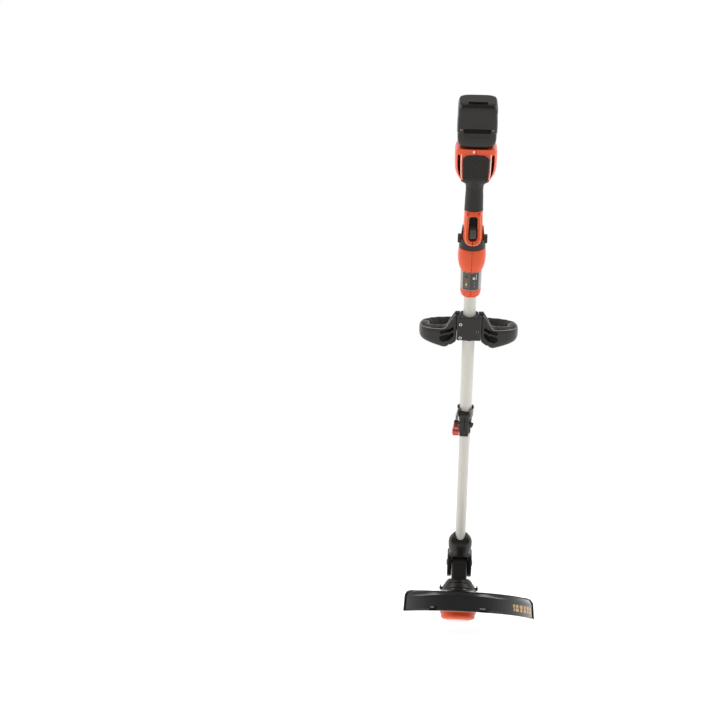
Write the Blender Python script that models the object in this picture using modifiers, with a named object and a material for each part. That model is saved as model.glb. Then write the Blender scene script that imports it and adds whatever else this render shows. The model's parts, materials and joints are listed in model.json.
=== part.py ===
"""Cordless string trimmer: rear handle with slide-on battery, trigger and side lock-off buttons, loop front handle,
telescoping shaft with a quick-release lever, swivelling yoke, tilting cutting head with guard, edge guide and spool.

Two working frames hang from empties. In the shaft frame Z runs up the shaft towards the battery, -Y is the trigger side
and Z = 0 is near the middle of the shaft. In the head frame Z is the spool's axis and Z = 0 is the tilt pin.
"""

import math

import bmesh
import bpy
from mathutils import Matrix, Vector

MM = 0.001

# ---- driving dimensions -------------------------------------------------------------------------------------------
SHAFT_LEAN = math.radians(25.0)  # shaft leans towards the operator
HEAD_TILT = math.radians(13.8)  # spool axis leans the other way
GRIP_Z = 350 * MM  # centre of the rear grip along the shaft: the part's origin
GAP = 0.3 * MM
UPPER_TUBE_R = 12.7 * MM
UPPER_TUBE_BORE_R = 11.6 * MM
LOWER_TUBE_R = 11.1 * MM
LOWER_TUBE_BORE_R = 9.9 * MM
UPPER_TUBE_SPAN = (-130 * MM, 222 * MM)
LOWER_TUBE_SPAN = (-440 * MM, -40 * MM)
SHELL_WALL = 2.2 * MM
PIVOT_Z = -487 * MM  # tilt pin, along the shaft
BATTERY_HALF_WIDTH = 38.5 * MM
GUARD_R = 165 * MM
GUARD_RIM_Z = -120 * MM
GUARD_ARC = (-44.2, 76.0)  # degrees, from the operator's side towards +X
SPOOL_R = 37 * MM
CAP_BOTTOM_Z = -128 * MM
TRIGGER_PIVOT = Vector((0, -9.5, 317.0)) * MM
AUX_PIVOT_Z = 94.5 * MM
LEVER_PIVOT = Vector((-18.5, -20.0, -136.0)) * MM

# ---- scene set-up -------------------------------------------------------------------------------------------------
for old in list(bpy.data.objects):
    bpy.data.objects.remove(old, do_unlink=True)

scene = bpy.context.scene
parts = bpy.data.collections.new("string_trimmer")
cutters = bpy.data.collections.new("cutters")
scene.collection.children.link(parts)
scene.collection.children.link(cutters)


def material(name, rgb, rough, metal=0.0):
    mat = bpy.data.materials.new(name)
    mat.use_nodes = True
    shader = mat.node_tree.nodes["Principled BSDF"]
    shader.inputs["Base Color"].default_value = (*rgb, 1)
    shader.inputs["Roughness"].default_value = rough
    shader.inputs["Metallic"].default_value = metal
    mat.diffuse_color = (*rgb, 1)
    return mat


ORANGE = (0.69, 0.085, 0.022)
LEVER_RED = (0.55, 0.035, 0.012)
BLACK = (0.022, 0.021, 0.019)
DARK_GREY = (0.05, 0.048, 0.045)
RUBBER = (0.045, 0.042, 0.039)
STEEL = (0.62, 0.62, 0.6)
BRASS = (0.72, 0.52, 0.22)
TUBE_PAINT = (0.66, 0.64, 0.56)
LINE_GREEN = (0.72, 0.62, 0.2)


def frame_empty(name, location, lean):
    e = bpy.data.objects.new(name, None)
    e.location = location
    e.rotation_euler = (lean, 0, 0)
    parts.objects.link(e)
    return e


def shaft_to_world(y, z):
    """A point of the shaft frame's YZ plane, in world coordinates."""
    c, s = math.cos(SHAFT_LEAN), math.sin(SHAFT_LEAN)
    dz = z - GRIP_Z
    return Vector((0, y * c - dz * s, y * s + dz * c))


SHAFT = frame_empty("shaft_frame", shaft_to_world(0, 0), SHAFT_LEAN)
HEAD = frame_empty("head_frame", shaft_to_world(0, PIVOT_Z), -HEAD_TILT)


# ---- helpers ------------------------------------------------------------------------------------------------------
def add(obj, frame, look=None, home=parts):
    home.objects.link(obj)
    obj.parent = frame
    if look:
        name, rgb, rough, metal = look
        obj.data.materials.append(material(name, rgb, rough, metal))
    if home is cutters:
        obj.hide_render = True
        obj.display_type = "WIRE"
    return obj


def look_of(name, rgb, rough, metal=0.0):
    return (name + "_mat", rgb, rough, metal)


def bevel(obj, width, segments=1, angle=40):
    m = obj.modifiers.new("edge_round", "BEVEL")
    m.width = width
    m.segments = segments
    m.limit_method = "ANGLE"
    m.angle_limit = math.radians(angle)
    return obj


def boolean(obj, other, operation="DIFFERENCE"):
    m = obj.modifiers.new(operation.lower() + "_" + other.name, "BOOLEAN")
    m.operation = operation
    m.object = other
    m.solver = "EXACT"
    return obj


def from_bmesh(name, bm, frame, look=None, home=parts):
    mesh = bpy.data.meshes.new(name)
    bmesh.ops.recalc_face_normals(bm, faces=bm.faces)
    bm.to_mesh(mesh)
    bm.free()
    return add(bpy.data.objects.new(name, mesh), frame, look, home)


def box(name, lo, hi, frame, look=None, home=parts, round_by=0.0, segments=1):
    bm = bmesh.new()
    lo, hi = Vector(lo) * MM, Vector(hi) * MM
    size = hi - lo
    bmesh.ops.create_cube(bm, size=1.0, matrix=Matrix.Translation((lo + hi) / 2) @ Matrix.Diagonal((*size, 1)))
    obj = from_bmesh(name, bm, frame, look, home)
    if round_by:
        bevel(obj, round_by * MM, segments)
    return obj


AXES = {
    "X": Matrix.Rotation(math.radians(90), 4, "Y"),
    "Y": Matrix.Rotation(math.radians(-90), 4, "X"),
    "Z": Matrix.Identity(4),
}


def rod(name, radius, start, end, axis, at, frame, look=None, home=parts, sides=16, radius2=None):
    """A cylinder or cone along one axis of its frame, from start to end on that axis, through at."""
    bm = bmesh.new()
    length = (end - start) * MM
    centre = Vector(at) * MM
    centre["XYZ".index(axis)] = (start + end) / 2 * MM
    bmesh.ops.create_cone(
        bm,
        cap_ends=True,
        segments=sides,
        radius1=radius * MM,
        radius2=(radius if radius2 is None else radius2) * MM,
        depth=length,
        matrix=Matrix.Translation(centre) @ AXES[axis],
    )
    return from_bmesh(name, bm, frame, look, home)


def turned(name, profile, frame, look=None, home=parts, steps=24, at=(0, 0, 0), axis="Z", flip=False):
    """A turned shape. The profile (radius, height) runs down the outer side; one that touches the axis is left open."""
    mesh = bpy.data.meshes.new(name)
    points = [(r * MM, 0, z * MM) for r, z in profile]
    edges = [(i, i + 1) for i in range(len(points) - 1)]
    if profile[0][0] > 0:
        edges.append((len(points) - 1, 0))
    mesh.from_pydata(points, edges, [])
    obj = add(bpy.data.objects.new(name, mesh), frame, look, home)
    obj.location = Vector(at) * MM
    turn = AXES[axis].to_euler()
    if flip:
        turn = (AXES[axis] @ Matrix.Rotation(math.pi, 4, "X")).to_euler()
    obj.rotation_euler = turn
    m = obj.modifiers.new("turn", "SCREW")
    m.steps = m.render_steps = steps
    m.use_merge_vertices = True
    m.merge_threshold = 0.00001
    m.use_smooth_shade = True
    return obj


def prism(name, outline, depth, frame, look=None, home=parts, axis="Z", round_by=0.0, segments=1):
    """A flat outline given thickness. Outline points are the frame's other two coordinates in X, Y, Z order."""
    curve = bpy.data.curves.new(name, "CURVE")
    curve.dimensions = "2D"
    curve.fill_mode = "BOTH"
    spline = curve.splines.new("POLY")
    spline.points.add(len(outline) - 1)
    for p, (u, v) in zip(spline.points, outline):
        p.co = (u * MM, v * MM, 0, 1)
    spline.use_cyclic_u = True
    curve.extrude = (depth[1] - depth[0]) / 2 * MM
    holder = bpy.data.objects.new(name + "_outline", curve)
    scene.collection.objects.link(holder)
    mesh = bpy.data.meshes.new_from_object(holder.evaluated_get(bpy.context.evaluated_depsgraph_get()))
    bpy.data.objects.remove(holder, do_unlink=True)
    bm = bmesh.new()
    bm.from_mesh(mesh)
    bpy.data.meshes.remove(mesh)
    bmesh.ops.remove_doubles(bm, verts=bm.verts, dist=0.00001)
    middle = (depth[0] + depth[1]) / 2 * MM
    # Outline axes: Z keeps (x, y); X takes (y, z); Y takes (x, z).
    lay = {
        "Z": Matrix.Translation((0, 0, middle)),
        "X": Matrix(((0, 0, 1, middle), (1, 0, 0, 0), (0, 1, 0, 0), (0, 0, 0, 1))),
        "Y": Matrix(((1, 0, 0, 0), (0, 0, -1, middle), (0, 1, 0, 0), (0, 0, 0, 1))),
    }[axis]
    bmesh.ops.transform(bm, matrix=lay, verts=bm.verts)
    obj = from_bmesh(name, bm, frame, look, home)
    if round_by:
        bevel(obj, round_by * MM, segments)
    return obj


def wire(name, points, radius, frame, look, resolution=2):
    """A round wire or coil through its points, as a mesh with closed ends."""
    curve = bpy.data.curves.new(name, "CURVE")
    curve.dimensions = "3D"
    curve.bevel_depth = radius * MM
    curve.bevel_resolution = resolution
    curve.use_fill_caps = True
    spline = curve.splines.new("POLY")
    spline.points.add(len(points) - 1)
    for p, q in zip(spline.points, points):
        p.co = (q[0] * MM, q[1] * MM, q[2] * MM, 1)
    return add(bpy.data.objects.new(name, curve), frame, look)


def pivot_at(obj, point):
    """Moves an object's origin onto its joint's axis and leaves its shape where it is."""
    obj.data.transform(Matrix.Translation(-Vector(point)))
    obj.location = Vector(obj.location) + Vector(point)
    return obj


def half_oval(a, front, back, power, count, side, off=0.15):
    """Half of a superellipse in XY, from the front (-Y) round one side to the back."""
    mid, deep = (front + back) / 2, (back - front) / 2
    points = []
    for i in range(count + 1):
        t = -math.pi / 2 + math.pi * i / count
        x = off + (a - off) * max(0.0, math.cos(t)) ** (2 / power)
        y = mid + deep * math.copysign(abs(math.sin(t)) ** (2 / power), math.sin(t))
        points.append((side * x, y))
    return points


def full_oval(a, front, back, power, count):
    mid, deep = (front + back) / 2, (back - front) / 2
    points = []
    for i in range(count):
        t = -math.pi / 2 + 2 * math.pi * i / count
        x = a * math.copysign(abs(math.cos(t)) ** (2 / power), math.cos(t))
        y = mid + deep * math.copysign(abs(math.sin(t)) ** (2 / power), math.sin(t))
        points.append((x, y))
    return points


def skin(bm, rings, closed):
    for a, b in zip(rings, rings[1:]):
        n = len(a)
        for j in range(n if closed else n - 1):
            k = (j + 1) % n
            bm.faces.new((a[j], a[k], b[k], b[j]))


def half_shell(name, rows, side, look, count=8):
    """One hollow half of the handle. A row is (z, half width, front, back, power, (z, half width, front, back) inside)."""
    bm = bmesh.new()
    outer, inner = [], []
    for z, a, front, back, power, inside in rows:
        outer.append([bm.verts.new((x * MM, y * MM, z * MM)) for x, y in half_oval(a, front, back, power, count, side)])
        zi, ai, fi, ki = inside
        inner.append([bm.verts.new((x * MM, y * MM, zi * MM)) for x, y in half_oval(ai, fi, ki, power, count, side)])
    skin(bm, outer, False)
    skin(bm, inner, False)
    for i in range(len(rows) - 1):  # the joint face between the halves
        for j in (0, -1):
            bm.faces.new((outer[i][j], outer[i + 1][j], inner[i + 1][j], inner[i][j]))
    for j in range(count):  # the mouth round the tube
        bm.faces.new((outer[0][j], outer[0][j + 1], inner[0][j + 1], inner[0][j]))
    bm.faces.new(outer[-1])
    bm.faces.new(inner[-1])
    bm.faces.new((outer[-1][0], outer[-1][-1], inner[-1][-1], inner[-1][0]))
    return from_bmesh(name, bm, SHAFT, look)


def loft(name, rings, frame, look=None, home=parts):
    """A solid skinned over rings of points, closed at both ends."""
    bm = bmesh.new()
    verts = [[bm.verts.new(Vector(p) * MM) for p in ring] for ring in rings]
    skin(bm, verts, True)
    bm.faces.new(verts[0])
    bm.faces.new(verts[-1])
    return from_bmesh(name, bm, frame, look, home)


def sleeve(name, rows, frame, look, count=20):
    """A closed hollow sleeve. A row is (z, half width, front, back, power, thickness)."""
    bm = bmesh.new()
    outer, inner = [], []
    for z, a, front, back, power, thick in rows:
        outer.append([bm.verts.new((x * MM, y * MM, z * MM)) for x, y in full_oval(a, front, back, power, count)])
        inner.append(
            [
                bm.verts.new((x * MM, y * MM, z * MM))
                for x, y in full_oval(a - thick, front + thick, back - thick, power, count)
            ]
        )
    skin(bm, outer, True)
    skin(bm, inner, True)
    for end in (0, -1):
        for j in range(count):
            k = (j + 1) % count
            bm.faces.new((outer[end][j], outer[end][k], inner[end][k], inner[end][j]))
    return from_bmesh(name, bm, frame, look)


def screw(name, at, axis, length, frame, look, head_r=3.2, head_h=1.8, shank_r=1.5, flip=False):
    """A socket-head screw: its head's under side at the point, the shank running back from it."""
    profile = [
        (0, head_h - 1.0),
        (head_r * 0.5, head_h - 1.0),
        (head_r * 0.5, head_h),
        (head_r * 0.88, head_h),
        (head_r, head_h * 0.65),
        (head_r, 0),
        (shank_r, 0),
        (shank_r, -length),
        (0, -length),
    ]
    return turned(name, profile, frame, look, steps=8, at=at, axis=axis, flip=flip)


# ---- rear handle shells -------------------------------------------------------------------------------------------
W = SHELL_WALL / MM


def shrink(z, a, front, back, wall=W):
    return (z, a - wall, front + wall, back - wall)


SHELL_ROWS = [
    (144.0, 14.9, -14.9, 14.9, 2.0, (144.0, 13.3, -13.3, 13.3)),
    (147.4, 18.4, -18.4, 18.4, 2.0, (147.4, 13.3, -13.3, 13.3)),
    (152.6, 20.3, -20.3, 20.3, 2.0, (152.6, 13.3, -13.3, 13.3)),
    (160.7, 21.0, -21.0, 21.0, 2.0, (156.0, 13.3, -13.3, 13.3)),
    (161.0, 19.3, -19.3, 19.3, 2.0, (157.0, 17.0, -17.0, 17.0)),
    (199.7, 19.3, -19.3, 19.3, 2.0, (199.7, 17.0, -17.0, 17.0)),
    (200.0, 21.2, -21.2, 21.2, 2.0, (201.0, 17.6, -17.6, 17.6)),
    (203.5, 22.9, -22.9, 22.9, 2.0, shrink(204.0, 22.6, -22.6, 22.6)),
    (209.0, 24.8, -24.7, 24.7, 2.0, shrink(209.5, 24.8, -24.7, 24.7)),
    (219.0, 27.1, -26.9, 26.8, 2.0, shrink(219.0, 27.1, -26.9, 26.8)),
    (231.0, 28.0, -27.8, 27.4, 2.0, shrink(231.0, 28.0, -27.8, 27.4)),
    (241.0, 27.4, -27.0, 26.8, 2.0, shrink(240.0, 27.4, -27.0, 26.8)),
    (246.7, 26.4, -25.8, 26.0, 2.0, (243.5, 21.5, -21.5, 22.0)),
    (247.0, 21.6, -22.0, 22.6, 2.0, (245.0, 19.3, -19.6, 20.2)),
    (266.6, 21.4, -22.4, 22.9, 2.1, shrink(266.6, 21.4, -22.4, 22.9)),
    (282.0, 19.8, -22.8, 24.0, 2.2, shrink(282.0, 19.8, -22.8, 24.0)),
    (304.0, 18.8, -22.0, 23.4, 2.2, shrink(304.0, 18.8, -22.0, 23.4)),
    (325.7, 18.2, -20.8, 22.5, 2.2, (322.0, 15.9, -18.3, 20.0)),
    (326.0, 15.7, -18.0, 20.0, 2.2, (325.0, 13.5, -15.8, 17.8)),
    (350.0, 15.4, -17.6, 20.8, 2.2, shrink(350.0, 15.4, -17.6, 20.8)),
    (371.0, 14.8, -17.2, 19.0, 2.2, shrink(372.0, 14.8, -17.2, 19.0)),
    (379.0, 17.6, -20.0, 21.0, 2.3, shrink(380.0, 17.0, -19.6, 20.6)),
    (386.7, 26.0, -27.6, 28.0, 2.6, shrink(388.5, 25.6, -27.2, 27.6)),
    (387.0, 34.0, -33.0, 34.0, 3.0, shrink(389.5, 31.0, -31.0, 32.0)),
    (395.0, 39.0, -39.5, 39.0, 3.6, shrink(396.0, 38.6, -39.0, 38.6)),
    (403.0, 41.0, -41.0, 42.0, 4.0, shrink(403.5, 40.8, -40.8, 41.8)),
    (441.0, 41.0, -41.0, 42.0, 4.0, shrink(441.0, 41.0, -41.0, 42.0)),
    (457.0, 40.5, -42.0, 42.0, 4.0, shrink(454.6, 40.5, -41.0, 42.0)),
    (457.3, 33.6, 24.6, 42.0, 4.0, (455.2, 31.4, 26.8, 39.8)),
    (518.0, 33.6, 24.6, 42.0, 4.0, (518.0, 31.4, 26.8, 39.8)),
    (528.0, 31.6, 25.2, 38.5, 4.0, (525.8, 29.4, 27.4, 36.3)),
]
left_shell = half_shell("left_handle_shell", SHELL_ROWS, -1, look_of("left_handle_shell", ORANGE, 0.38))
right_shell = half_shell("right_handle_shell", SHELL_ROWS, 1, look_of("right_handle_shell", ORANGE, 0.38))

# A raised U-shaped rim stands round the trigger. A row is (z, half width, front).
RIM_ROWS = [
    (256.4, 3.0, -26.6), (257.4, 6.6, -27.0), (260.0, 10.6, -27.2), (264.5, 13.5, -27.0), (271.0, 14.9, -26.6),
    (290.0, 15.4, -25.2), (308.0, 15.6, -23.6), (316.0, 15.2, -22.6), (323.0, 13.4, -19.6),
]
for shell, side in ((left_shell, -1), (right_shell, 1)):
    rim = loft(
        "trigger_rim_left" if side < 0 else "trigger_rim_right",
        [
            [(side * x, y, z) for x, y in [(0.15, front), (w - 1.4, front), (w, front + 1.6), (w, -15.0), (0.15, -15.0)]]
            for z, w, front in RIM_ROWS
        ],
        SHAFT,
        home=cutters,
    )
    boolean(shell, rim, "UNION")
trigger_slot = box("cut_trigger_slot", (-8.3, -32, 267.8), (8.3, -12.5, 312.6), SHAFT, home=cutters)
bevel(trigger_slot, 0.8 * MM, 1)
lock_window = box("cut_lock_window", (-34, -6.4, 256.4), (34, 6.4, 272.6), SHAFT, home=cutters)
for shell in (left_shell, right_shell):
    boolean(shell, trigger_slot)
    boolean(shell, lock_window)

# Screws that close the clamshell: a boss on each half, a counterbore in the right one.
SCREW_SPOTS = [(13.5, 234.0, 24.4), (13.0, 303.0, 15.8), (20.0, 420.0, 40.0), (33.0, 492.0, 32.6)]
for number, (y, z, out) in enumerate(SCREW_SPOTS, 1):
    boss_l = rod(f"boss_left_{number}", 4.2, -out + 1.2, -0.15, "X", (0, y, z), SHAFT, home=cutters, sides=10)
    boss_r = rod(f"boss_right_{number}", 4.2, 0.15, out - 1.2, "X", (0, y, z), SHAFT, home=cutters, sides=10)
    boolean(left_shell, boss_l, "UNION")
    boolean(right_shell, boss_r, "UNION")
    pilot = rod(f"cut_pilot_{number}", 1.8, -10.5, 60, "X", (0, y, z), SHAFT, home=cutters, sides=10)
    sink = rod(f"cut_sink_{number}", 3.6, out - 4.0, 60, "X", (0, y, z), SHAFT, home=cutters, sides=12)
    boolean(left_shell, pilot)
    boolean(right_shell, pilot)
    boolean(right_shell, sink)
    screw(
        f"handle_screw_{number}",
        (out - 3.7, y, z),
        "X",
        out - 3.7 + 9.5,
        SHAFT,
        look_of(f"handle_screw_{number}", STEEL, 0.35, 1.0),
    )

sleeve(
    "grip_sleeve",
    [
        (326.3, 18.0, -20.4, 22.2, 2.2, 2.0),
        (338.0, 18.1, -20.6, 23.4, 2.2, 2.2),
        (352.0, 17.9, -20.1, 23.2, 2.2, 2.2),
        (371.0, 17.3, -19.6, 21.4, 2.2, 2.2),
        (379.0, 20.0, -22.4, 23.4, 2.3, 2.1),
        (386.4, 31.0, -32.0, 33.0, 2.6, 4.2),
    ],
    SHAFT,
    look_of("grip_sleeve", RUBBER, 0.7),
)

pad = loft(
    "dock_pad",
    [
        [(x, y, z) for x, z in [(-w, lo), (-w, hi), (w, hi), (w, lo)]]
        for y, w, lo, hi in [(-41.4, 25.6, 397, 446), (-44.6, 24.6, 398, 445)]
    ],
    SHAFT,
    look_of("dock_pad", BLACK, 0.75),
)
bevel(pad, 1.2 * MM, 2)

collar = turned(
    "lock_collar",
    [(24.8, 266.0), (25.6, 262.0), (26.4, 252.0), (26.4, 247.2), (23.4, 247.2), (23.4, 266.0)],
    SHAFT,
    look_of("lock_collar", BLACK, 0.5),
    steps=24,
)
# Its front is open round the rim, and a thin tongue rises from it along each side.
for side, name in ((-1, "collar_tongue_left"), (1, "collar_tongue_right")):
    tongue = loft(
        name,
        [
            [(side * (x + dx), y, z) for dx, y in [(0, -w), (t, -w * 0.8), (t, w * 0.8), (0, w)]]
            for z, x, t, w in [(258.0, 23.6, 1.2, 11.0), (266.6, 21.9, 2.0, 10.6), (280.0, 20.5, 1.6, 8.0), (292.0, 19.8, 0.8, 4.0)]
        ],
        SHAFT,
        home=cutters,
    )
    boolean(collar, tongue, "UNION")
boolean(collar, lock_window)
rim_room = prism(
    "cut_rim_room",
    [(-3.4, 255.9), (3.4, 255.9), (7.2, 257.0), (11.2, 259.6), (14.0, 264.2), (15.4, 272.0), (-15.4, 272.0), (-14.0, 264.2), (-11.2, 259.6), (-7.2, 257.0)],
    (-40, -14),
    SHAFT,
    home=cutters,
    axis="Y",
)
boolean(collar, rim_room)

turned(
    "label_band",
    [(21.0, 199.2), (21.1, 198.4), (21.1, 162.0), (21.0, 161.3), (19.6, 161.3), (19.6, 199.2)],
    SHAFT,
    look_of("label_band", BLACK, 0.3),
    steps=24,
)

# ---- tubes --------------------------------------------------------------------------------------------------------
turned(
    "upper_tube",
    [
        (UPPER_TUBE_R / MM, UPPER_TUBE_SPAN[1] / MM),
        (UPPER_TUBE_R / MM, UPPER_TUBE_SPAN[0] / MM),
        (UPPER_TUBE_BORE_R / MM, UPPER_TUBE_SPAN[0] / MM),
        (UPPER_TUBE_BORE_R / MM, UPPER_TUBE_SPAN[1] / MM),
    ],
    SHAFT,
    look_of("upper_tube", TUBE_PAINT, 0.35, 0.0),
    steps=24,
)
turned(
    "lower_tube",
    [
        (LOWER_TUBE_R / MM, LOWER_TUBE_SPAN[1] / MM),
        (LOWER_TUBE_R / MM, LOWER_TUBE_SPAN[0] / MM),
        (LOWER_TUBE_BORE_R / MM, LOWER_TUBE_SPAN[0] / MM),
        (LOWER_TUBE_BORE_R / MM, LOWER_TUBE_SPAN[1] / MM),
    ],
    SHAFT,
    look_of("lower_tube", TUBE_PAINT, 0.35, 0.0),
    steps=24,
)

# ---- trigger, switch and electronics ------------------------------------------------------------------------------
TRIGGER_OUTLINE = [
    (-26.2, 290.6), (-28.2, 283), (-28.6, 275), (-26.8, 270.6), (-20.5, 269.4), (-12.0, 269.2), (-9.5, 290),
    (-6.0, 311), (-6.0, 320.5), (-12.5, 320.5), (-13.2, 312.6), (-13.8, 303.0), (-16.5, 297.4), (-22.6, 294.4),
]
trigger = prism(
    "trigger", TRIGGER_OUTLINE, (-7.8, 7.8), SHAFT, look_of("trigger", DARK_GREY, 0.45), axis="X", round_by=1.0
)
trigger_bore = rod("cut_trigger_bore", 2.3, -12, 12, "X", (0, -9.5, 317), SHAFT, home=cutters, sides=14)
boolean(trigger, trigger_bore)
pivot_at(trigger, TRIGGER_PIVOT)
rod("trigger_pin", 2.0, -12.8, 12.8, "X", (0, -9.5, 317), SHAFT, look_of("trigger_pin", STEEL, 0.3, 1.0), sides=14)
switch = box(
    "switch_module", (-6.8, -2.0, 263), (6.8, 11, 296), SHAFT, look_of("switch_module", DARK_GREY, 0.5), round_by=1.0
)
plunger = rod("switch_plunger", 1.8, -4.0, 0.0, "Y", (0, 0, 288), SHAFT, home=cutters, sides=10)
boolean(switch, plunger, "UNION")
TURNS, AROUND = 4, 10
wire(
    "trigger_spring",
    [
        (
            2.6 * math.cos(2 * math.pi * i / AROUND),
            -10.2 + 7.4 * i / (TURNS * AROUND),
            275 + 2.6 * math.sin(2 * math.pi * i / AROUND),
        )
        for i in range(TURNS * AROUND + 1)
    ],
    0.35,
    SHAFT,
    look_of("trigger_spring", STEEL, 0.3, 1.0),
    resolution=0,
)
board = box(
    "control_board", (-28, 30.5, 404), (28, 32.1, 482), SHAFT, look_of("control_board", (0.02, 0.13, 0.05), 0.5)
)
for number, (lo, hi) in enumerate(
    [((-24, 28.4, 470), (-12, 31, 479)), ((6, 25.8, 410), (24, 31, 440)), ((-22, 25.8, 412), (-8, 31, 430))], 1
):
    chip = box(f"board_component_{number}", lo, hi, SHAFT, home=cutters)
    boolean(board, chip, "UNION")
notch = rod("cut_board_notch", 5.5, -60, 60, "X", (0, 33.0, 492), SHAFT, home=cutters, sides=12)
boolean(board, notch)

for side, name in ((-1, "lock_button_left"), (1, "lock_button_right")):
    button = prism(
        name,
        [
            (side * x, y)
            for x, y in [
                (14.8, -7.6), (16.6, -7.6), (16.6, -6.1), (28.6, -6.1), (29.4, -5.2),
                (29.4, 5.2), (28.6, 6.1), (16.6, 6.1), (16.6, 7.6), (14.8, 7.6),
            ][:: side]
        ],
        (256.7, 272.3),
        SHAFT,
        look_of(name, BLACK, 0.45),
    )
    pivot_at(button, Vector((side * 22, 0, 264.5)) * MM)

# ---- battery dock -------------------------------------------------------------------------------------------------
prism(
    "dock_base",
    [
        (-32, 12.6), (-20.4, 12.6), (-20.4, 16.2), (-26.4, 16.2), (-26.4, 22.3), (26.4, 22.3),
        (26.4, 16.2), (20.4, 16.2), (20.4, 12.6), (32, 12.6), (32, 24.2), (-32, 24.2),
    ],
    (457.8, 522),
    SHAFT,
    look_of("dock_base", BLACK, 0.5),
)
terminal_block = box(
    "terminal_block", (-12.8, 12.9, 457.8), (12.8, 22.0, 471), SHAFT, look_of("terminal_block", BLACK, 0.5), round_by=0.6
)
for number, x in enumerate((-8.5, 0, 8.5)):
    slot = box(f"cut_blade_slot_{number}", (x - 0.7, 14.2, 459.5), (x + 0.7, 25, 480), SHAFT, home=cutters)
    boolean(terminal_block, slot)

# ---- battery ------------------------------------------------------------------------------------------------------
PACK_ROWS = [
    (457.8, 34.6, -38.0, 11.0, 6),
    (461.0, 35.8, -41.5, 12.0, 7),
    (488.6, 36.0, -43.6, 12.2, 7),
    (490.4, 38.1, -49.4, 12.2, 7),
    (494.0, 38.4, -50.4, 12.2, 7),
    (520.0, 38.5, -50.4, 12.2, 7),
    (534.0, 38.5, -50.4, 12.2, 7),
    (541.0, 37.6, -48.8, 12.0, 6),
    (544.2, 35.0, -46.0, 10.0, 5),
]
PACK_SLOPE, PACK_SLOPE_FROM = 0.112, 520.0


def pack_height(y, z):
    """The pack's end rises towards its back."""
    return z + PACK_SLOPE * (y + 50.4) * max(0.0, (z - PACK_SLOPE_FROM) / 24.2)


def pack_form(name, look):
    rings = [[(x, y, pack_height(y, z)) for x, y in full_oval(a, f, k, n, 20)] for z, a, f, k, n in PACK_ROWS]
    return loft(name, rings, SHAFT, look)


# One room for the cells, which opens where the case meets the cover.
cells_room = box("cut_cells_room", (-31.6, -38.6, 463.2), (31.6, 8.4, 536.2), SHAFT, home=cutters)
battery_case = pack_form("battery_case", look_of("battery_case", BLACK, 0.5))
battery_cover = pack_form("battery_cover", look_of("battery_cover", BLACK, 0.5))
tongue_foot = box("battery_tongue_foot", (-20, 10.4, 459.0), (20, 17.0, 526), SHAFT, home=cutters)
tongue_head = box("battery_tongue_head", (-26, 16.6, 459.0), (26, 21.9, 526), SHAFT, home=cutters)
boolean(battery_cover, tongue_foot, "UNION")
boolean(battery_cover, tongue_head, "UNION")
boolean(battery_cover, box("cut_terminal_room", (-13.6, 11.7, 440), (13.6, 30, 472.5), SHAFT, home=cutters))
boolean(battery_case, cells_room)
boolean(battery_cover, cells_room)
boolean(battery_case, box("cut_case_back", (-60, -8.15, 440), (60, 40, 570), SHAFT, home=cutters))
boolean(battery_cover, box("cut_cover_front", (-60, -80, 440), (60, -7.85, 570), SHAFT, home=cutters))
release_room = box("cut_release_room", (-18.6, -43.6, 537.6), (18.6, -29.4, 560), SHAFT, home=cutters)
boolean(battery_case, release_room)
scoop = prism(
    "cut_pack_scoop",
    [(-60, 500.0), (-43.0, 498.0), (-41.6, 494.0), (-41.6, 487.0), (-43.0, 479.0), (-60, 470.0)],
    (-25.4, 25.4),
    SHAFT,
    home=cutters,
    axis="X",
)
boolean(battery_case, scoop)

cells = bmesh.new()
CELL_PITCH = 18.1
for y, count, shift, radius in ((-29.2, 4, 0.0, 8.8), (-13.6, 3, 0.5, 8.8), (1.2, 4, 0.0, 6.6)):
    for i in range(count):
        bmesh.ops.create_cone(
            cells,
            cap_ends=True,
            segments=12,
            radius1=radius * MM,
            radius2=radius * MM,
            depth=60.6 * MM,
            matrix=Matrix.Translation(Vector((0, y, 472.6 + CELL_PITCH * (i + shift))) * MM) @ AXES["X"],
        )
cell_group = from_bmesh("cell_group", cells, SHAFT, home=cutters)
battery_cells = box(
    "battery_cells", (30.0, -37.4, 464.4), (31.0, 7.2, 535.4), SHAFT, look_of("battery_cells", STEEL, 0.4, 1.0)
)
far_strip = box("far_nickel_strip", (-31.0, -37.4, 464.4), (-30.0, 7.2, 535.4), SHAFT, home=cutters)
boolean(battery_cells, cell_group, "UNION")
boolean(battery_cells, far_strip, "UNION")

for number, x in enumerate((-30.0, 30.0), 1):
    hole = rod(f"cut_pack_screw_{number}", 1.8, -60, -41.0, "Y", (x, 0, 497.2), SHAFT, home=cutters, sides=10)
    sink = rod(f"cut_pack_sink_{number}", 3.6, -60, -48.2, "Y", (x, 0, 497.2), SHAFT, home=cutters, sides=12)
    boolean(battery_case, hole)
    boolean(battery_case, sink)
    screw(
        f"battery_screw_{number}",
        (x, -48.5, 497.2),
        "Y",
        6.4,
        SHAFT,
        look_of(f"battery_screw_{number}", STEEL, 0.3, 1.0),
        head_r=3.3,
        head_h=1.8,
        flip=True,
    )
release = prism(
    "battery_release",
    [(-17.8, 541.0), (-17.8, 544.6), (-8, 543.4), (8, 543.4), (17.8, 544.6), (17.8, 541.0)],
    (-43.0, -30.0),
    SHAFT,
    look_of("battery_release", DARK_GREY, 0.45),
    axis="Y",
)

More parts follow.
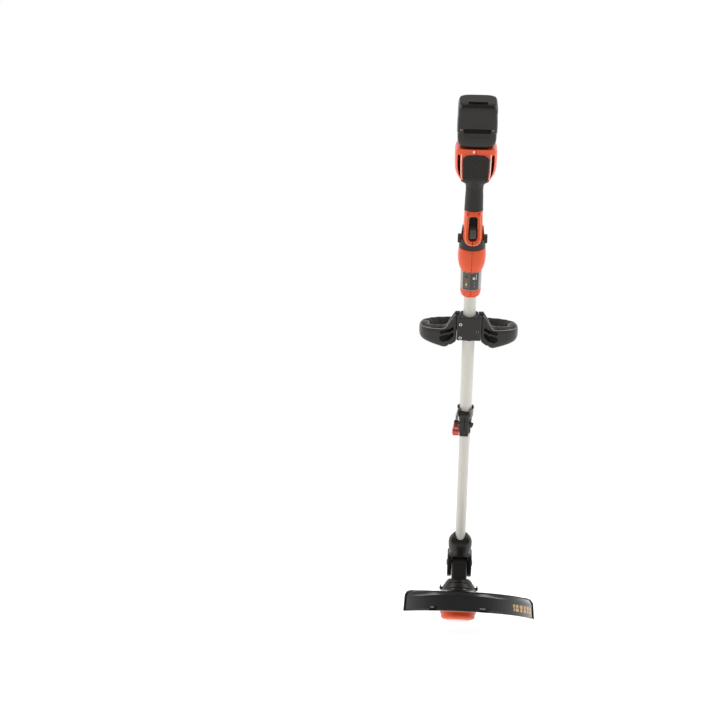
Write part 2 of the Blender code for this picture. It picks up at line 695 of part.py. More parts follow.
# ---- front handle -------------------------------------------------------------------------------------------------
tube_bore = rod("cut_clamp_bore", 13.1, 40, 120, "Z", (0, 0, 0), SHAFT, home=cutters, sides=24)
pin_bore = rod("cut_pin_bore", 3.8, -31.5, 31.5, "X", (0, 0, 94.5), SHAFT, home=cutters, sides=12)
clamp_front = prism(
    "aux_clamp_front",
    [
        (-24.6, -22.2), (-22.6, -23.6), (22.6, -23.6), (24.6, -22.2), (24.6, -17.2),
        (18.5, -17.2), (18.5, -0.25), (-18.5, -0.25), (-18.5, -17.2), (-24.6, -17.2),
    ],
    (54, 101.5),
    SHAFT,
    look_of("aux_clamp_front", BLACK, 0.5),
)
clamp_rear = prism(
    "aux_clamp_rear",
    [(-18.5, 0.25), (18.5, 0.25), (18.5, 15.0), (12.5, 20.0), (-12.5, 20.0), (-18.5, 15.0)],
    (54, 101.5),
    SHAFT,
    look_of("aux_clamp_rear", BLACK, 0.5),
)
for half in (clamp_front, clamp_rear):
    boolean(half, tube_bore)
    boolean(half, pin_bore)
for number, (x, z) in enumerate(((-19.2, 88.0), (-19.2, 60.0), (19.2, 73.0)), 1):
    inner_x = 16.0 if x > 0 else -16.0
    bore = rod(f"cut_aux_screw_{number}", 1.45, -30, 12.0, "Y", (inner_x, 0, z), SHAFT, home=cutters, sides=10)
    sink = rod(f"cut_aux_sink_{number}", 3.4, -40, -22.2, "Y", (inner_x, 0, z), SHAFT, home=cutters, sides=12)
    boolean(clamp_front, bore)
    boolean(clamp_front, sink)
    boolean(clamp_rear, bore)
    screw(
        f"aux_screw_{number}",
        (inner_x, -22.5, z),
        "Y",
        32.0,
        SHAFT,
        look_of(f"aux_screw_{number}", STEEL, 0.3, 1.0),
        head_r=3.1,
        head_h=1.7,
        shank_r=1.15,
        flip=True,
    )
for side, name in ((-1, "aux_pivot_left"), (1, "aux_pivot_right")):
    pin = turned(
        name,
        [(0, 31.2), (2.9, 31.2), (3.5, 30.6), (3.5, 14.2), (0, 14.2)],
        SHAFT,
        look_of(name, STEEL, 0.35, 1.0),
        steps=12,
        at=(0, 0, 94.5),
        axis="X",
        flip=side < 0,
    )

# Stations of the loop: x, y, centre height, half height along the shaft, half thickness.
LOOP = [
    (18.9, 0.0, 93.0, 13.6, 13.0),
    (25.2, 0.0, 92.4, 14.0, 13.0),
    (28.6, 0.3, 78.0, 28.4, 12.8),
    (37.0, 1.6, 65.0, 29.4, 11.8),
    (47.0, 3.6, 52.4, 24.0, 11.0),
    (62.0, 8.0, 50.8, 21.2, 10.6),
    (77.0, 15.5, 51.0, 18.6, 11.0),
    (86.5, 27.0, 50.2, 17.0, 11.6),
    (90.0, 43.0, 49.0, 16.6, 12.0),
    (88.0, 60.0, 46.5, 15.8, 12.0),
    (79.0, 76.5, 43.5, 15.0, 12.0),
    (60.0, 89.0, 41.5, 14.4, 12.0),
    (32.0, 95.5, 40.2, 14.2, 12.0),
    (0.0, 97.5, 39.8, 14.2, 12.0),
]
LOOP_ALL = LOOP + [(-x, y, z, h, t) for x, y, z, h, t in LOOP[-2::-1]]
GRIP_FROM = 9  # first station of the soft grip on each side


def loop_rings(first, last, trim=0.0, count=12, power=2.5):
    rings = []
    for i in range(first, last + 1):
        x, y, z, h, t = LOOP_ALL[i]
        before = Vector(LOOP_ALL[max(0, i - 1)][:2])
        after = Vector(LOOP_ALL[min(len(LOOP_ALL) - 1, i + 1)][:2])
        along = (after - before).normalized()
        if i in (0, len(LOOP_ALL) - 1):
            along = Vector((1.0, 0.0))
        across = Vector((-along.y, along.x))
        ring = []
        for k in range(count):
            a = 2 * math.pi * k / count
            u = (t - trim) * math.copysign(abs(math.cos(a)) ** (2 / power), math.cos(a))
            v = (h - trim) * math.copysign(abs(math.sin(a)) ** (2 / power), math.sin(a))
            ring.append((x + across.x * u, y + across.y * u, z + v))
        rings.append(ring)
    return rings


END = len(LOOP_ALL) - 1
core_rings = []
for i, ring in enumerate(loop_rings(0, END)):
    slim_ring = loop_rings(i, i, trim=2.3)[0]
    if i == GRIP_FROM or i == END - GRIP_FROM:
        core_rings += [ring, slim_ring] if i == GRIP_FROM else [slim_ring, ring]
    elif GRIP_FROM < i < END - GRIP_FROM:
        core_rings.append(slim_ring)
    else:
        core_rings.append(ring)
# The step at each end of the soft grip leans by half a millimetre, so its two rings aren't in one plane.
for near, far in ((GRIP_FROM, GRIP_FROM + 1), (END - GRIP_FROM + 2, END - GRIP_FROM + 1)):
    toward = (Vector(core_rings[far + (1 if far > near else -1)][0]) - Vector(core_rings[far][0])).normalized() * 0.6
    core_rings[far] = [tuple(Vector(p) + toward) for p in core_rings[far]]
aux_handle = loft("aux_handle", core_rings, SHAFT, look_of("aux_handle", BLACK, 0.45))
boolean(aux_handle, pin_bore)
pivot_at(aux_handle, Vector((0, 0, AUX_PIVOT_Z)))

bm = bmesh.new()
outer_rings = loop_rings(GRIP_FROM, END - GRIP_FROM)
inner_rings = loop_rings(GRIP_FROM, END - GRIP_FROM, trim=2.0)
for rings in (outer_rings, inner_rings):
    for at_end, next_in in ((0, 1), (-1, -2)):
        slide = (Vector(rings[next_in][0]) - Vector(rings[at_end][0])).normalized() * 1.0
        rings[at_end] = [tuple(Vector(p) + slide) for p in rings[at_end]]
grip_outer = [[bm.verts.new(Vector(p) * MM) for p in ring] for ring in outer_rings]
grip_inner = [[bm.verts.new(Vector(p) * MM) for p in ring] for ring in inner_rings]
skin(bm, grip_outer, True)
skin(bm, grip_inner, True)
for end in (0, -1):
    for j in range(12):
        k = (j + 1) % 12
        bm.faces.new((grip_outer[end][j], grip_outer[end][k], grip_inner[end][k], grip_inner[end][j]))
aux_grip = from_bmesh("aux_grip", bm, SHAFT, look_of("aux_grip", RUBBER, 0.7))
pivot_at(aux_grip, Vector((0, 0, AUX_PIVOT_Z)))

# ---- height clamp and its lever -----------------------------------------------------------------------------------
height_clamp = turned(
    "height_clamp",
    [(0, -106.0), (17.4, -106.0), (17.0, -108.0), (16.4, -116.0), (15.8, -126.0), (14.0, -131.0), (13.6, -165.0), (0, -165.0)],
    SHAFT,
    look_of("height_clamp", BLACK, 0.45),
    steps=24,
)
clamp_ears = prism(
    "clamp_ears",
    [(-11.5, -5.4), (-11.5, -24.5), (-9.5, -26.5), (5.5, -26.5), (7.5, -24.5), (7.5, -5.4)],
    (-164, -112),
    SHAFT,
    home=cutters,
)
boolean(height_clamp, clamp_ears, "UNION")
bracket = prism(
    "lever_bracket",
    [(-10.5, -116.5), (-10.5, -128.0), (-20.4, -128.4), (-20.4, -122.4), (-16.6, -117.6)],
    (-22.6, -17.4),
    SHAFT,
    home=cutters,
    axis="Y",
)
boolean(height_clamp, bracket, "UNION")
clamp_bores = turned(
    "cut_clamp_bores",
    [(0, -100.0), (16.6, -100.0), (15.4, -108.0), (13.2, -118.0), (13.2, -130.6), (11.5, -130.6), (11.5, -175.0), (0, -175.0)],
    SHAFT,
    home=cutters,
    steps=24,
)
boolean(height_clamp, clamp_bores)
boolean(height_clamp, box("cut_clamp_split", (-2.2, -40, -180), (-0.8, -5, -118), SHAFT, home=cutters))
boolean(height_clamp, rod("cut_bolt_bore", 2.7, -30, 30, "X", (0, -20, -136), SHAFT, home=cutters, sides=12))
clamp_bolt = turned(
    "height_clamp_bolt",
    [(0, 14.4), (3.6, 14.4), (5.6, 12.8), (5.8, 8.0), (2.3, 8.0), (2.3, -16.4), (0, -16.4)],
    SHAFT,
    look_of("height_clamp_bolt", STEEL, 0.35, 1.0),
    steps=12,
    at=(0, -20, -136),
    axis="X",
)
bolt_wing = prism(
    "bolt_wing",
    [(9.4, -137.0), (16.4, -133.6), (16.8, -139.0), (15.4, -145.0), (11.8, -150.0), (9.4, -146.0)],
    (-22.4, -17.6),
    SHAFT,
    home=cutters,
    axis="Y",
)
boolean(clamp_bolt, bolt_wing, "UNION")
# The lever lies down along the left ear. Its forked cam end turns on a pin that runs front to back.
CAM_R = 5.2
cam = [
    (-18.5 + CAM_R * math.cos(math.radians(a)), -136.0 + CAM_R * math.sin(math.radians(a)))
    for a in (-20, 20, 55, 90, 125, 160, 200)
]
height_lever = prism(
    "height_lever",
    cam
    + [
        (-22.8, -140.6), (-25.0, -143.6), (-26.0, -147.0), (-26.0, -158.6), (-24.0, -162.8),
        (-14.6, -163.6), (-12.6, -161.6), (-12.4, -147.0), (-14.2, -142.6), (-14.4, -140.2),
    ],
    (-26.0, -12.0),
    SHAFT,
    look_of("height_lever", LEVER_RED, 0.4),
    axis="Y",
    round_by=0.7,
)
boolean(height_lever, rod("cut_lever_bore", 2.0, -40, 0, "Y", (-18.5, 0, -136), SHAFT, home=cutters, sides=12))
boolean(height_lever, box("cut_lever_fork", (-22.6, -22.8, -138.9), (-6, -17.2, -119), SHAFT, home=cutters))
pivot_at(height_lever, LEVER_PIVOT)
lever_pin = rod(
    "lever_pin", 1.7, -26.6, -11.4, "Y", (-18.5, 0, -136), SHAFT, look_of("lever_pin", STEEL, 0.3, 1.0), sides=12
)
pivot_at(lever_pin, LEVER_PIVOT)

# ---- socket and yoke ----------------------------------------------------------------------------------------------
turned(
    "tube_socket",
    [
        (16.6, -411.5), (18.6, -415.0), (24.4, -425.0), (25.6, -431.0), (25.4, -440.0), (23.2, -456.4), (18.4, -456.4),
        (18.4, -447.0), (9.0, -447.0), (9.0, -441.0), (11.5, -441.0), (11.5, -428.0), (13.6, -412.0), (15.0, -411.5),
    ],
    SHAFT,
    look_of("tube_socket", BLACK, 0.4),
    steps=24,
)
# The mouth dips at the front.
boolean(
    bpy.data.objects["tube_socket"],
    rod("cut_socket_mouth", 19.0, -40, 40, "X", (0, -25, -407), SHAFT, home=cutters, sides=28),
)
yoke = turned(
    "yoke",
    [(18.0, -447.4), (18.0, -456.8), (23.2, -456.8), (25.0, -464.0), (25.0, -466.6), (6.0, -466.6), (6.0, -447.4)],
    SHAFT,
    look_of("yoke", BLACK, 0.4),
    steps=24,
)
CHEEK = [
    (16.0 * math.cos(math.radians(a)), -487.0 - 2.0 + 31.0 * math.sin(math.radians(a)) * (1.0 if a > 180 else 1.0))
    for a in range(180, 361, 18)
]
cheek_outline = [(-16.5, -487.0), *[(y, z) for y, z in CHEEK[1:-1]], (16.5, -487.0), (17.5, -463.0), (-17.5, -463.0)]
for side, name in ((-1, "left_cheek"), (1, "right_cheek")):
    cheek = prism(
        name,
        cheek_outline,
        (17.2, 26.4) if side > 0 else (-26.4, -17.2),
        SHAFT,
        home=cutters,
        axis="X",
        round_by=2.0,
    )
    boolean(yoke, cheek, "UNION")
# Inside the cheeks the yoke is hollowed to a drum, so that the round neck can turn in it.
boolean(yoke, rod("cut_neck_room", 20.6, -17.2, 17.2, "X", (0, 0, -487), SHAFT, home=cutters, sides=24))
boolean(yoke, rod("cut_pivot_bore", 4.3, -40, 40, "X", (0, 0, -487), SHAFT, home=cutters, sides=14))
pivot_at(yoke, Vector((0, 0, 0)))
turned(
    "head_pivot_pin",
    [(0, 28.2), (5.6, 28.2), (6.6, 27.4), (6.6, 26.7), (4.0, 26.7), (4.0, -26.7), (6.6, -26.7), (6.6, -27.4), (5.6, -28.2), (0, -28.2)],
    SHAFT,
    look_of("head_pivot_pin", BLACK, 0.35),
    steps=14,
    at=(0, 0, -487),
    axis="X",
)

# ---- cutting head -------------------------------------------------------------------------------------------------
housing = turned(
    "motor_housing",
    [
        (20.6, -35.6), (24.8, -38.0), (29.6, -43.8), (33.2, -50.0), (35.8, -56.0), (37.4, -58.4), (37.4, -60.2), (36.0, -60.4), (36.0, -92.0), (33.4, -92.0),
        (33.4, -62.0), (23.5, -46.0), (12.0, -44.5), (12.0, -36.0),
    ],
    HEAD,
    look_of("motor_housing", BLACK, 0.38),
    steps=24,
)
neck = rod("neck_drum", 20.2, -16.8, 16.8, "X", (0, 0, 0), HEAD, home=cutters, sides=24)
bevel(neck, 1.6 * MM, 1, 60)
boolean(housing, neck, "UNION")
stem = box("neck_stem", (-16.8, -19.8, -42), (16.8, 19.8, -2), HEAD, home=cutters)
boolean(housing, stem, "UNION")
boolean(housing, rod("cut_lead_way", 5.0, -48, -12.0, "Z", (0, 0, 0), HEAD, home=cutters, sides=12))
boolean(housing, rod("cut_head_bore", 4.3, -40, 40, "X", (0, 0, 0), HEAD, home=cutters, sides=14))
for side, name in ((-1, "left_tab"), (1, "right_tab")):
    tab = box(
        name,
        (34.0, -4.5, -60.6) if side > 0 else (-40.6, -4.5, -60.6),
        (40.6, 4.5, -50.5) if side > 0 else (-34.0, 4.5, -50.5),
        HEAD,
        home=cutters,
    )
    boolean(housing, tab, "UNION")
boolean(housing, rod("cut_guide_bore", 1.9, -60, 60, "X", (0, 0, -56), HEAD, home=cutters, sides=12))
turned(
    "motor_base",
    [(36.0, -92.4), (36.0, -96.6), (5.2, -96.6), (5.2, -90.0), (9.0, -90.0), (9.0, -92.4)],
    HEAD,
    look_of("motor_base", BLACK, 0.5),
    steps=24,
)
turned(
    "motor",
    [(12.0, -47.6), (18.6, -49.6), (18.6, -89.4), (3.5, -89.4), (3.5, -47.6)],
    HEAD,
    look_of("motor", STEEL, 0.35, 0.9),
    steps=20,
)
for number, angle in enumerate((50, 230), 1):
    x, y = 26.0 * math.cos(math.radians(angle)), 26.0 * math.sin(math.radians(angle))
    hole = rod(f"cut_base_screw_{number}", 2.0, -100, -80, "Z", (x, y, 0), HEAD, home=cutters, sides=10)
    boolean(bpy.data.objects["motor_base"], hole)
    screw(
        f"head_screw_{number}",
        (x, y, -96.9),
        "Z",
        9.0,
        HEAD,
        look_of(f"head_screw_{number}", STEEL, 0.3, 1.0),
        head_r=3.2,
        head_h=1.5,
        flip=True,
    )

# The guard: a profile swept through its arc, and a full ring that grips the housing.
GUARD_PROFILE_OUT = [(37.4, -61.0), (42.0, -68.6), (60.0, -70.4), (150.0, -77.4), (158.5, -81.0), (162.8, -88.0), (165.0, -120.0)]
GUARD_PROFILE_IN = [(37.4, -71.4), (42.0, -71.6), (60.0, -73.2), (149.0, -80.2), (156.2, -83.4), (160.0, -89.0), (162.2, -120.0)]
bm = bmesh.new()
STEPS = 18
rings = []
for i in range(STEPS + 1):
    a = math.radians(GUARD_ARC[0] + (GUARD_ARC[1] - GUARD_ARC[0]) * i / STEPS)
    rings.append(
        [
            bm.verts.new((r * math.sin(a) * MM, -r * math.cos(a) * MM, z * MM))
            for r, z in GUARD_PROFILE_OUT + GUARD_PROFILE_IN[::-1]
        ]
    )
skin(bm, rings, True)
bm.faces.new(rings[0])
bm.faces.new(rings[-1])
guard = from_bmesh("guard", bm, HEAD, look_of("guard", BLACK, 0.3))
guard_ring = turned(
    "guard_ring",
    [(38.4, -61.0), (42.6, -68.8), (42.6, -84.0), (36.4, -84.0), (36.4, -61.0)],
    HEAD,
    home=cutters,
    steps=24,
)
boolean(guard, guard_ring, "UNION")
for number, angle in enumerate(GUARD_ARC, 1):
    # A raised rib runs out along each open end of the guard and down the skirt's edge.
    rib_outline = [(r, z + 2.4) for r, z in GUARD_PROFILE_OUT[1:5]]
    rib_outline += [(165.4, -87.0), (167.8, -120.3), (161.0, -120.3), (158.4, -89.0), (154.0, -84.4)]
    rib_outline += [(r, z - 1.8) for r, z in GUARD_PROFILE_OUT[1:4][::-1]]
    rib = prism(f"guard_rib_{number}", rib_outline, (-1.6, 1.6), HEAD, home=cutters, axis="Y")
    inward = 1.7 if number == 1 else -1.7
    turn = math.radians(angle - 90)
    rib.rotation_euler = (0, 0, turn)
    rib.location = Vector((math.cos(math.radians(angle)), math.sin(math.radians(angle)), 0)) * inward * MM
    boolean(guard, rib, "UNION")
for number, (angle, half, top) in enumerate(((-17.0, 9.0, -106.0), (23.5, 9.5, -111.0)), 1):
    window = box(f"cut_guard_window_{number}", (-half, -172, top - 40), (half, -163.0, top), HEAD, home=cutters)
    window.rotation_euler = (0, 0, math.radians(angle))
    boolean(guard, window)
boolean(guard, box("cut_guard_screw", (-2.0, 30, -79.0), (2.0, 50, -75.0), HEAD, home=cutters))
screw(
    "guard_screw",
    (0, 42.9, -77.0),
    "Y",
    6.2,
    HEAD,
    look_of("guard_screw", STEEL, 0.3, 1.0),
    head_r=3.0,
    head_h=1.7,
)
# Line cutter: a steel blade on the skirt's inner face near its right end.
cutter = box(
    "line_cutter", (-9.0, -160.2, -117.0), (9.0, -159.0, -101.0), HEAD, look_of("line_cutter", STEEL, 0.25, 1.0)
)
blade = box("cutter_blade", (7.6, -160.2, -117.0), (8.9, -141.0, -104.0), HEAD, home=cutters)
cutter.rotation_euler = blade.rotation_euler = (0, 0, math.radians(68.0))
boolean(cutter, blade, "UNION")
cutter_hole = rod("cut_cutter_hole", 2.0, -170, -150, "Y", (0, 0, -107), HEAD, home=cutters, sides=10)
cutter_hole.rotation_euler = (0, 0, math.radians(68.0))
boolean(cutter, cutter_hole)
boolean(guard, cutter_hole)
cutter_screw = screw(
    "cutter_screw",
    (0, 0, 0),
    "Y",
    3.6,
    HEAD,
    look_of("cutter_screw", STEEL, 0.3, 1.0),
    head_r=3.2,
    head_h=1.7,
)
around = Matrix.Rotation(math.radians(68.0), 4, "Z") @ Matrix.Translation(Vector((0, -158.7, -107)) * MM) @ AXES["Y"]
cutter_screw.location = around.to_translation()
cutter_screw.rotation_euler = around.to_euler()

# Edge guide: one bent steel wire, its ends turned inwards into the housing's side tabs.
GUIDE = [(36.4, 0, -56), (41.0, 0, -56), (42.4, 0.6, -56), (43.0, 2.2, -56), (43.0, 12, -56.6), (43.0, 60, -59.0), (43.0, 106, -61.3)]
BEND = [
    (43.0 - 12 * (1 - math.cos(math.radians(a))), 106 + 12 * math.sin(math.radians(a)), -61.3 - 0.4 * a / 90)
    for a in (22.5, 45, 67.5, 90)
]
half_guide = GUIDE + BEND + [(0, 118, -61.7)]
edge_guide = wire(
    "edge_guide",
    half_guide + [(-x, y, z) for x, y, z in half_guide[-2::-1]],
    1.5,
    HEAD,
    look_of("edge_guide", STEEL, 0.35, 1.0),
)
edge_guide.data.transform(Matrix.Translation((0, 0, 0.056)))
edge_guide.location = (0, 0, -0.056)

# ---- spool assembly, turning on the head's axis -------------------------------------------------------------------
rod("drive_shaft", 3.0, -121.0, -44.0, "Z", (0, 0, 0), HEAD, look_of("drive_shaft", STEEL, 0.25, 1.0), sides=16)
turned(
    "spool_hub",
    [(SPOOL_R / MM + 1.0, -99.4), (SPOOL_R / MM + 1.0, -111.6), (36.0, -111.6), (36.0, -101.4), (9.0, -101.4), (9.0, -106.0), (3.3, -106.0), (3.3, -99.4)],
    HEAD,
    look_of("spool_hub", BLACK, 0.45),
    steps=24,
)
for number, angle in enumerate((0, 180), 1):
    name = ("eyelet_right", "eyelet_left")[number - 1]
    sign = 1 if angle == 0 else -1
    hole = rod(f"cut_eyelet_{number}", 3.0, min(30 * sign, 45 * sign), max(30 * sign, 45 * sign), "X", (0, 0, -107), HEAD, home=cutters, sides=14)
    boolean(bpy.data.objects["spool_hub"], hole)
    turned(
        name,
        [(2.7, 35.6), (2.7, 38.2), (3.6, 38.4), (3.6, 39.4), (1.5, 39.4), (1.5, 35.6)][::-1],
        HEAD,
        look_of(name, STEEL, 0.25, 1.0),
        steps=12,
        at=(0, 0, -107),
        axis="X",
        flip=sign < 0,
    )
turned(
    "line_spool",
    [(30.0, -106.6), (30.0, -108.0), (14.0, -108.0), (14.0, -117.4), (30.0, -117.4), (30.0, -119.0), (9.4, -119.0), (9.4, -106.6)],
    HEAD,
    look_of("line_spool", DARK_GREY, 0.5),
    steps=24,
)
turned(
    "wound_line",
    [(26.5, -108.6), (28.0, -110.4), (28.2, -112.8), (28.0, -115.2), (26.5, -116.8), (14.4, -116.8), (14.4, -108.6)],
    HEAD,
    look_of("wound_line", LINE_GREEN, 0.45),
    steps=24,
)
turned(
    "spool_cap",
    [
        (0, -122.4), (33.0, -121.8), (34.9, -118.6), (34.9, -112.0), (37.0, -112.0), (37.0, -119.0), (35.4, -122.2),
        (31.0, -124.0), (24.0, -124.6), (22.0, -127.4), (19.6, -128.0), (0, -128.0),
    ],
    HEAD,
    look_of("spool_cap", ORANGE, 0.4),
    steps=24,
)

for obj in parts.objects:
    if obj.type == "MESH":
        for polygon in obj.data.polygons:
            polygon.use_smooth = False
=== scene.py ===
"""Looks for the cordless string trimmer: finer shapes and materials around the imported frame.

Shapes are drawn in two working frames, in millimetres. In the shaft frame Z runs up the shaft towards the battery and -Y is
the trigger side. In the head frame Z is the spool's axis and Z = 0 is the tilt pin. Each finished mesh is then moved into
the frame's own coordinates, so that every object sits at the origin.
"""

import json
import math
from bisect import bisect_right

import bmesh
import bpy
from mathutils import Matrix, Vector


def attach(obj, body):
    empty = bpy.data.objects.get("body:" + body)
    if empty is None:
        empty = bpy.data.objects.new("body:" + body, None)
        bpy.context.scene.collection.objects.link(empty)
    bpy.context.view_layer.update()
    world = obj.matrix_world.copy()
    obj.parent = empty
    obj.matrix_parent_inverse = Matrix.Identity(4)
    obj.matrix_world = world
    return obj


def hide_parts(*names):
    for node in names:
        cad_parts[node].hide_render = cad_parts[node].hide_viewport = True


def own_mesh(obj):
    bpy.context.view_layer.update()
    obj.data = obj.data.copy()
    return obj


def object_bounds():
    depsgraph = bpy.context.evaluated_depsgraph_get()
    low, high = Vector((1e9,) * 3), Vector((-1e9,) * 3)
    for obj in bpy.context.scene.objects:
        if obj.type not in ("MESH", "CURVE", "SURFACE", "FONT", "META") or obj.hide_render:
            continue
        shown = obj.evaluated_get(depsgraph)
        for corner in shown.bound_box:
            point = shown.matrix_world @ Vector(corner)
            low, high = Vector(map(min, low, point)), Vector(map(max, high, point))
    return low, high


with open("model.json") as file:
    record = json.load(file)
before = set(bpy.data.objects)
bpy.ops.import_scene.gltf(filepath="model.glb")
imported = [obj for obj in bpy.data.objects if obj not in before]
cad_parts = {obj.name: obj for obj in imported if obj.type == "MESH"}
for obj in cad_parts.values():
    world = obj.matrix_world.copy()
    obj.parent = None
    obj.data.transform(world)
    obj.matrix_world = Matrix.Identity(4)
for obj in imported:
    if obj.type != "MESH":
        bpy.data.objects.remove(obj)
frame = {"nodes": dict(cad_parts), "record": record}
cad_box = [[float(c) for c in corner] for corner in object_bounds()]
scene = bpy.context.scene

MM = 0.001
SHAFT = Matrix.Translation((0, 0.147916, -0.317208)) @ Matrix.Rotation(math.radians(25.0), 4, "X")
HEAD = Matrix.Translation((0, 0.353731, -0.758580)) @ Matrix.Rotation(math.radians(-13.8), 4, "X")
TAU = 2 * math.pi


# ---- mesh helpers -------------------------------------------------------------------------------------------------
def mesh_object(name, points, faces):
    mesh = bpy.data.meshes.new(name)
    mesh.from_pydata([tuple(Vector(p) * MM) for p in points], [], faces)
    bm = bmesh.new()
    bm.from_mesh(mesh)
    bmesh.ops.remove_doubles(bm, verts=bm.verts, dist=1e-7)
    bmesh.ops.recalc_face_normals(bm, faces=bm.faces)
    bm.to_mesh(mesh)
    bm.free()
    obj = bpy.data.objects.new(name, mesh)
    scene.collection.objects.link(obj)
    return obj


def settle(obj):
    """Applies the object's modifiers."""
    graph = bpy.context.evaluated_depsgraph_get()
    mesh = bpy.data.meshes.new_from_object(obj.evaluated_get(graph), preserve_all_data_layers=True, depsgraph=graph)
    old = obj.data
    obj.modifiers.clear()
    obj.data = mesh
    bpy.data.meshes.remove(old)
    return obj


def combine(obj, other, operation="DIFFERENCE", keep=False):
    before = len(obj.data.polygons)
    for solver in ("MANIFOLD", "EXACT"):
        m = obj.modifiers.new("combine", "BOOLEAN")
        m.operation = operation
        m.object = other
        m.solver = solver
        graph = bpy.context.evaluated_depsgraph_get()
        made = obj.evaluated_get(graph).to_mesh()
        count = len(made.polygons)
        obj.evaluated_get(graph).to_mesh_clear()
        if count and count != before:
            break
        obj.modifiers.clear()
    settle(obj)
    if not keep:
        bpy.data.objects.remove(other, do_unlink=True)
    return obj


def cut(obj, *others):
    for other in others:
        combine(obj, other)
    return obj


def join(obj, *others):
    for other in others:
        combine(obj, other, "UNION")
    return obj


def soften(obj, width, segments=2, angle=38):
    m = obj.modifiers.new("edge_round", "BEVEL")
    m.width = width * MM
    m.segments = segments
    m.limit_method = "ANGLE"
    m.angle_limit = math.radians(angle)
    m.use_clamp_overlap = True
    return settle(obj)


def shade(obj, angle=32, weighted=True):
    mesh = obj.data
    mesh.polygons.foreach_set("use_smooth", [True] * len(mesh.polygons))
    mesh.set_sharp_from_angle(angle=math.radians(angle))
    if weighted:
        m = obj.modifiers.new("normals", "WEIGHTED_NORMAL")
        m.keep_sharp = True
        m.weight = 60
        settle(obj)
    return obj


def turn_to(axis, flip=False):
    way = {
        "X": Matrix.Rotation(math.radians(90), 4, "Y"),
        "Y": Matrix.Rotation(math.radians(-90), 4, "X"),
        "Z": Matrix.Identity(4),
    }[axis]
    return way @ Matrix.Rotation(math.pi, 4, "X") if flip else way


def shift(obj, matrix):
    obj.data.transform(matrix)
    return obj


def at_mm(x, y, z):
    return Matrix.Translation(Vector((x, y, z)) * MM)


def pchip(rows):
    """A smooth curve through rows of numbers, with no overshoot. The first number of a row is the parameter."""
    xs = [r[0] for r in rows]
    ys = [r[1:] for r in rows]
    n, dims = len(xs), len(ys[0])
    h = [xs[i + 1] - xs[i] for i in range(n - 1)]
    d = [[(ys[i + 1][k] - ys[i][k]) / h[i] for k in range(dims)] for i in range(n - 1)]
    slopes = []
    for i in range(n):
        row = []
        for k in range(dims):
            if i == 0:
                v = d[0][k]
            elif i == n - 1:
                v = d[-1][k]
            else:
                a, b = d[i - 1][k], d[i][k]
                if a * b <= 0:
                    v = 0.0
                else:
                    w1, w2 = 2 * h[i] + h[i - 1], h[i] + 2 * h[i - 1]
                    v = (w1 + w2) / (w1 / a + w2 / b)
            row.append(v)
        slopes.append(row)

    def value(x):
        i = max(0, min(n - 2, bisect_right(xs, x) - 1))
        t = (x - xs[i]) / h[i]
        h00, h10 = 2 * t**3 - 3 * t**2 + 1, t**3 - 2 * t**2 + t
        h01, h11 = -2 * t**3 + 3 * t**2, t**3 - t**2
        return tuple(
            h00 * ys[i][k] + h10 * h[i] * slopes[i][k] + h01 * ys[i + 1][k] + h11 * h[i] * slopes[i + 1][k] for k in range(dims)
        )

    return value


def refine(rows, pitch):
    """The same rows with one every pitch along the first number."""
    value = pchip(rows)
    lo, hi = rows[0][0], rows[-1][0]
    n = max(1, math.ceil(abs(hi - lo) / pitch))
    return [(lo + (hi - lo) * i / n, *value(lo + (hi - lo) * i / n)) for i in range(n + 1)]


def corners_rounded(outline, radii, segments=4, closed=True):
    """A polygon with its corners rounded. radii is one number or one for each corner."""
    n = len(outline)
    if not isinstance(radii, (list, tuple)):
        radii = [radii] * n
    out = []
    for i in range(n):
        p = Vector(outline[i][:2])
        if radii[i] <= 0 or (not closed and i in (0, n - 1)):
            out.append(tuple(p))
            continue
        a, b = Vector(outline[i - 1][:2]), Vector(outline[(i + 1) % n][:2])
        u, v = (a - p), (b - p)
        lu, lv = u.length, v.length
        if lu < 1e-6 or lv < 1e-6:
            out.append(tuple(p))
            continue
        u, v = u / lu, v / lv
        angle = math.acos(max(-1.0, min(1.0, u.dot(v))))
        if angle > math.radians(177) or angle < math.radians(3):
            out.append(tuple(p))
            continue
        back = min(radii[i] / math.tan(angle / 2), lu * 0.49, lv * 0.49)
        r = back * math.tan(angle / 2)
        start, end = p + u * back, p + v * back
        centre = p + (u + v).normalized() * (r / math.sin(angle / 2))
        a0 = math.atan2(start.y - centre.y, start.x - centre.x)
        a1 = math.atan2(end.y - centre.y, end.x - centre.x)
        sweep = (a1 - a0 + math.pi) % TAU - math.pi
        for k in range(segments + 1):
            t = a0 + sweep * k / segments
            out.append((centre.x + r * math.cos(t), centre.y + r * math.sin(t)))
    return out


def inset(outline, d):
    """The polygon moved in by d, at each of its points."""
    n = len(outline)
    area = sum(outline[i][0] * outline[(i + 1) % n][1] - outline[(i + 1) % n][0] * outline[i][1] for i in range(n))
    sign = 1 if area > 0 else -1
    out = []
    for i in range(n):
        p = Vector(outline[i])
        a, b = Vector(outline[i - 1]), Vector(outline[(i + 1) % n])
        e1, e2 = (p - a), (b - p)
        if e1.length < 1e-9 or e2.length < 1e-9:
            out.append(tuple(p))
            continue
        e1.normalize()
        e2.normalize()
        n1, n2 = Vector((-e1.y, e1.x)) * sign, Vector((-e2.y, e2.x)) * sign
        m = (n1 + n2) / max(0.35, 1 + n1.dot(n2))
        out.append(tuple(p + m * d))
    return out


LAY = {
    "Z": lambda u, v, w: (u, v, w),
    "X": lambda u, v, w: (w, u, v),
    "Y": lambda u, v, w: (u, w, v),
}


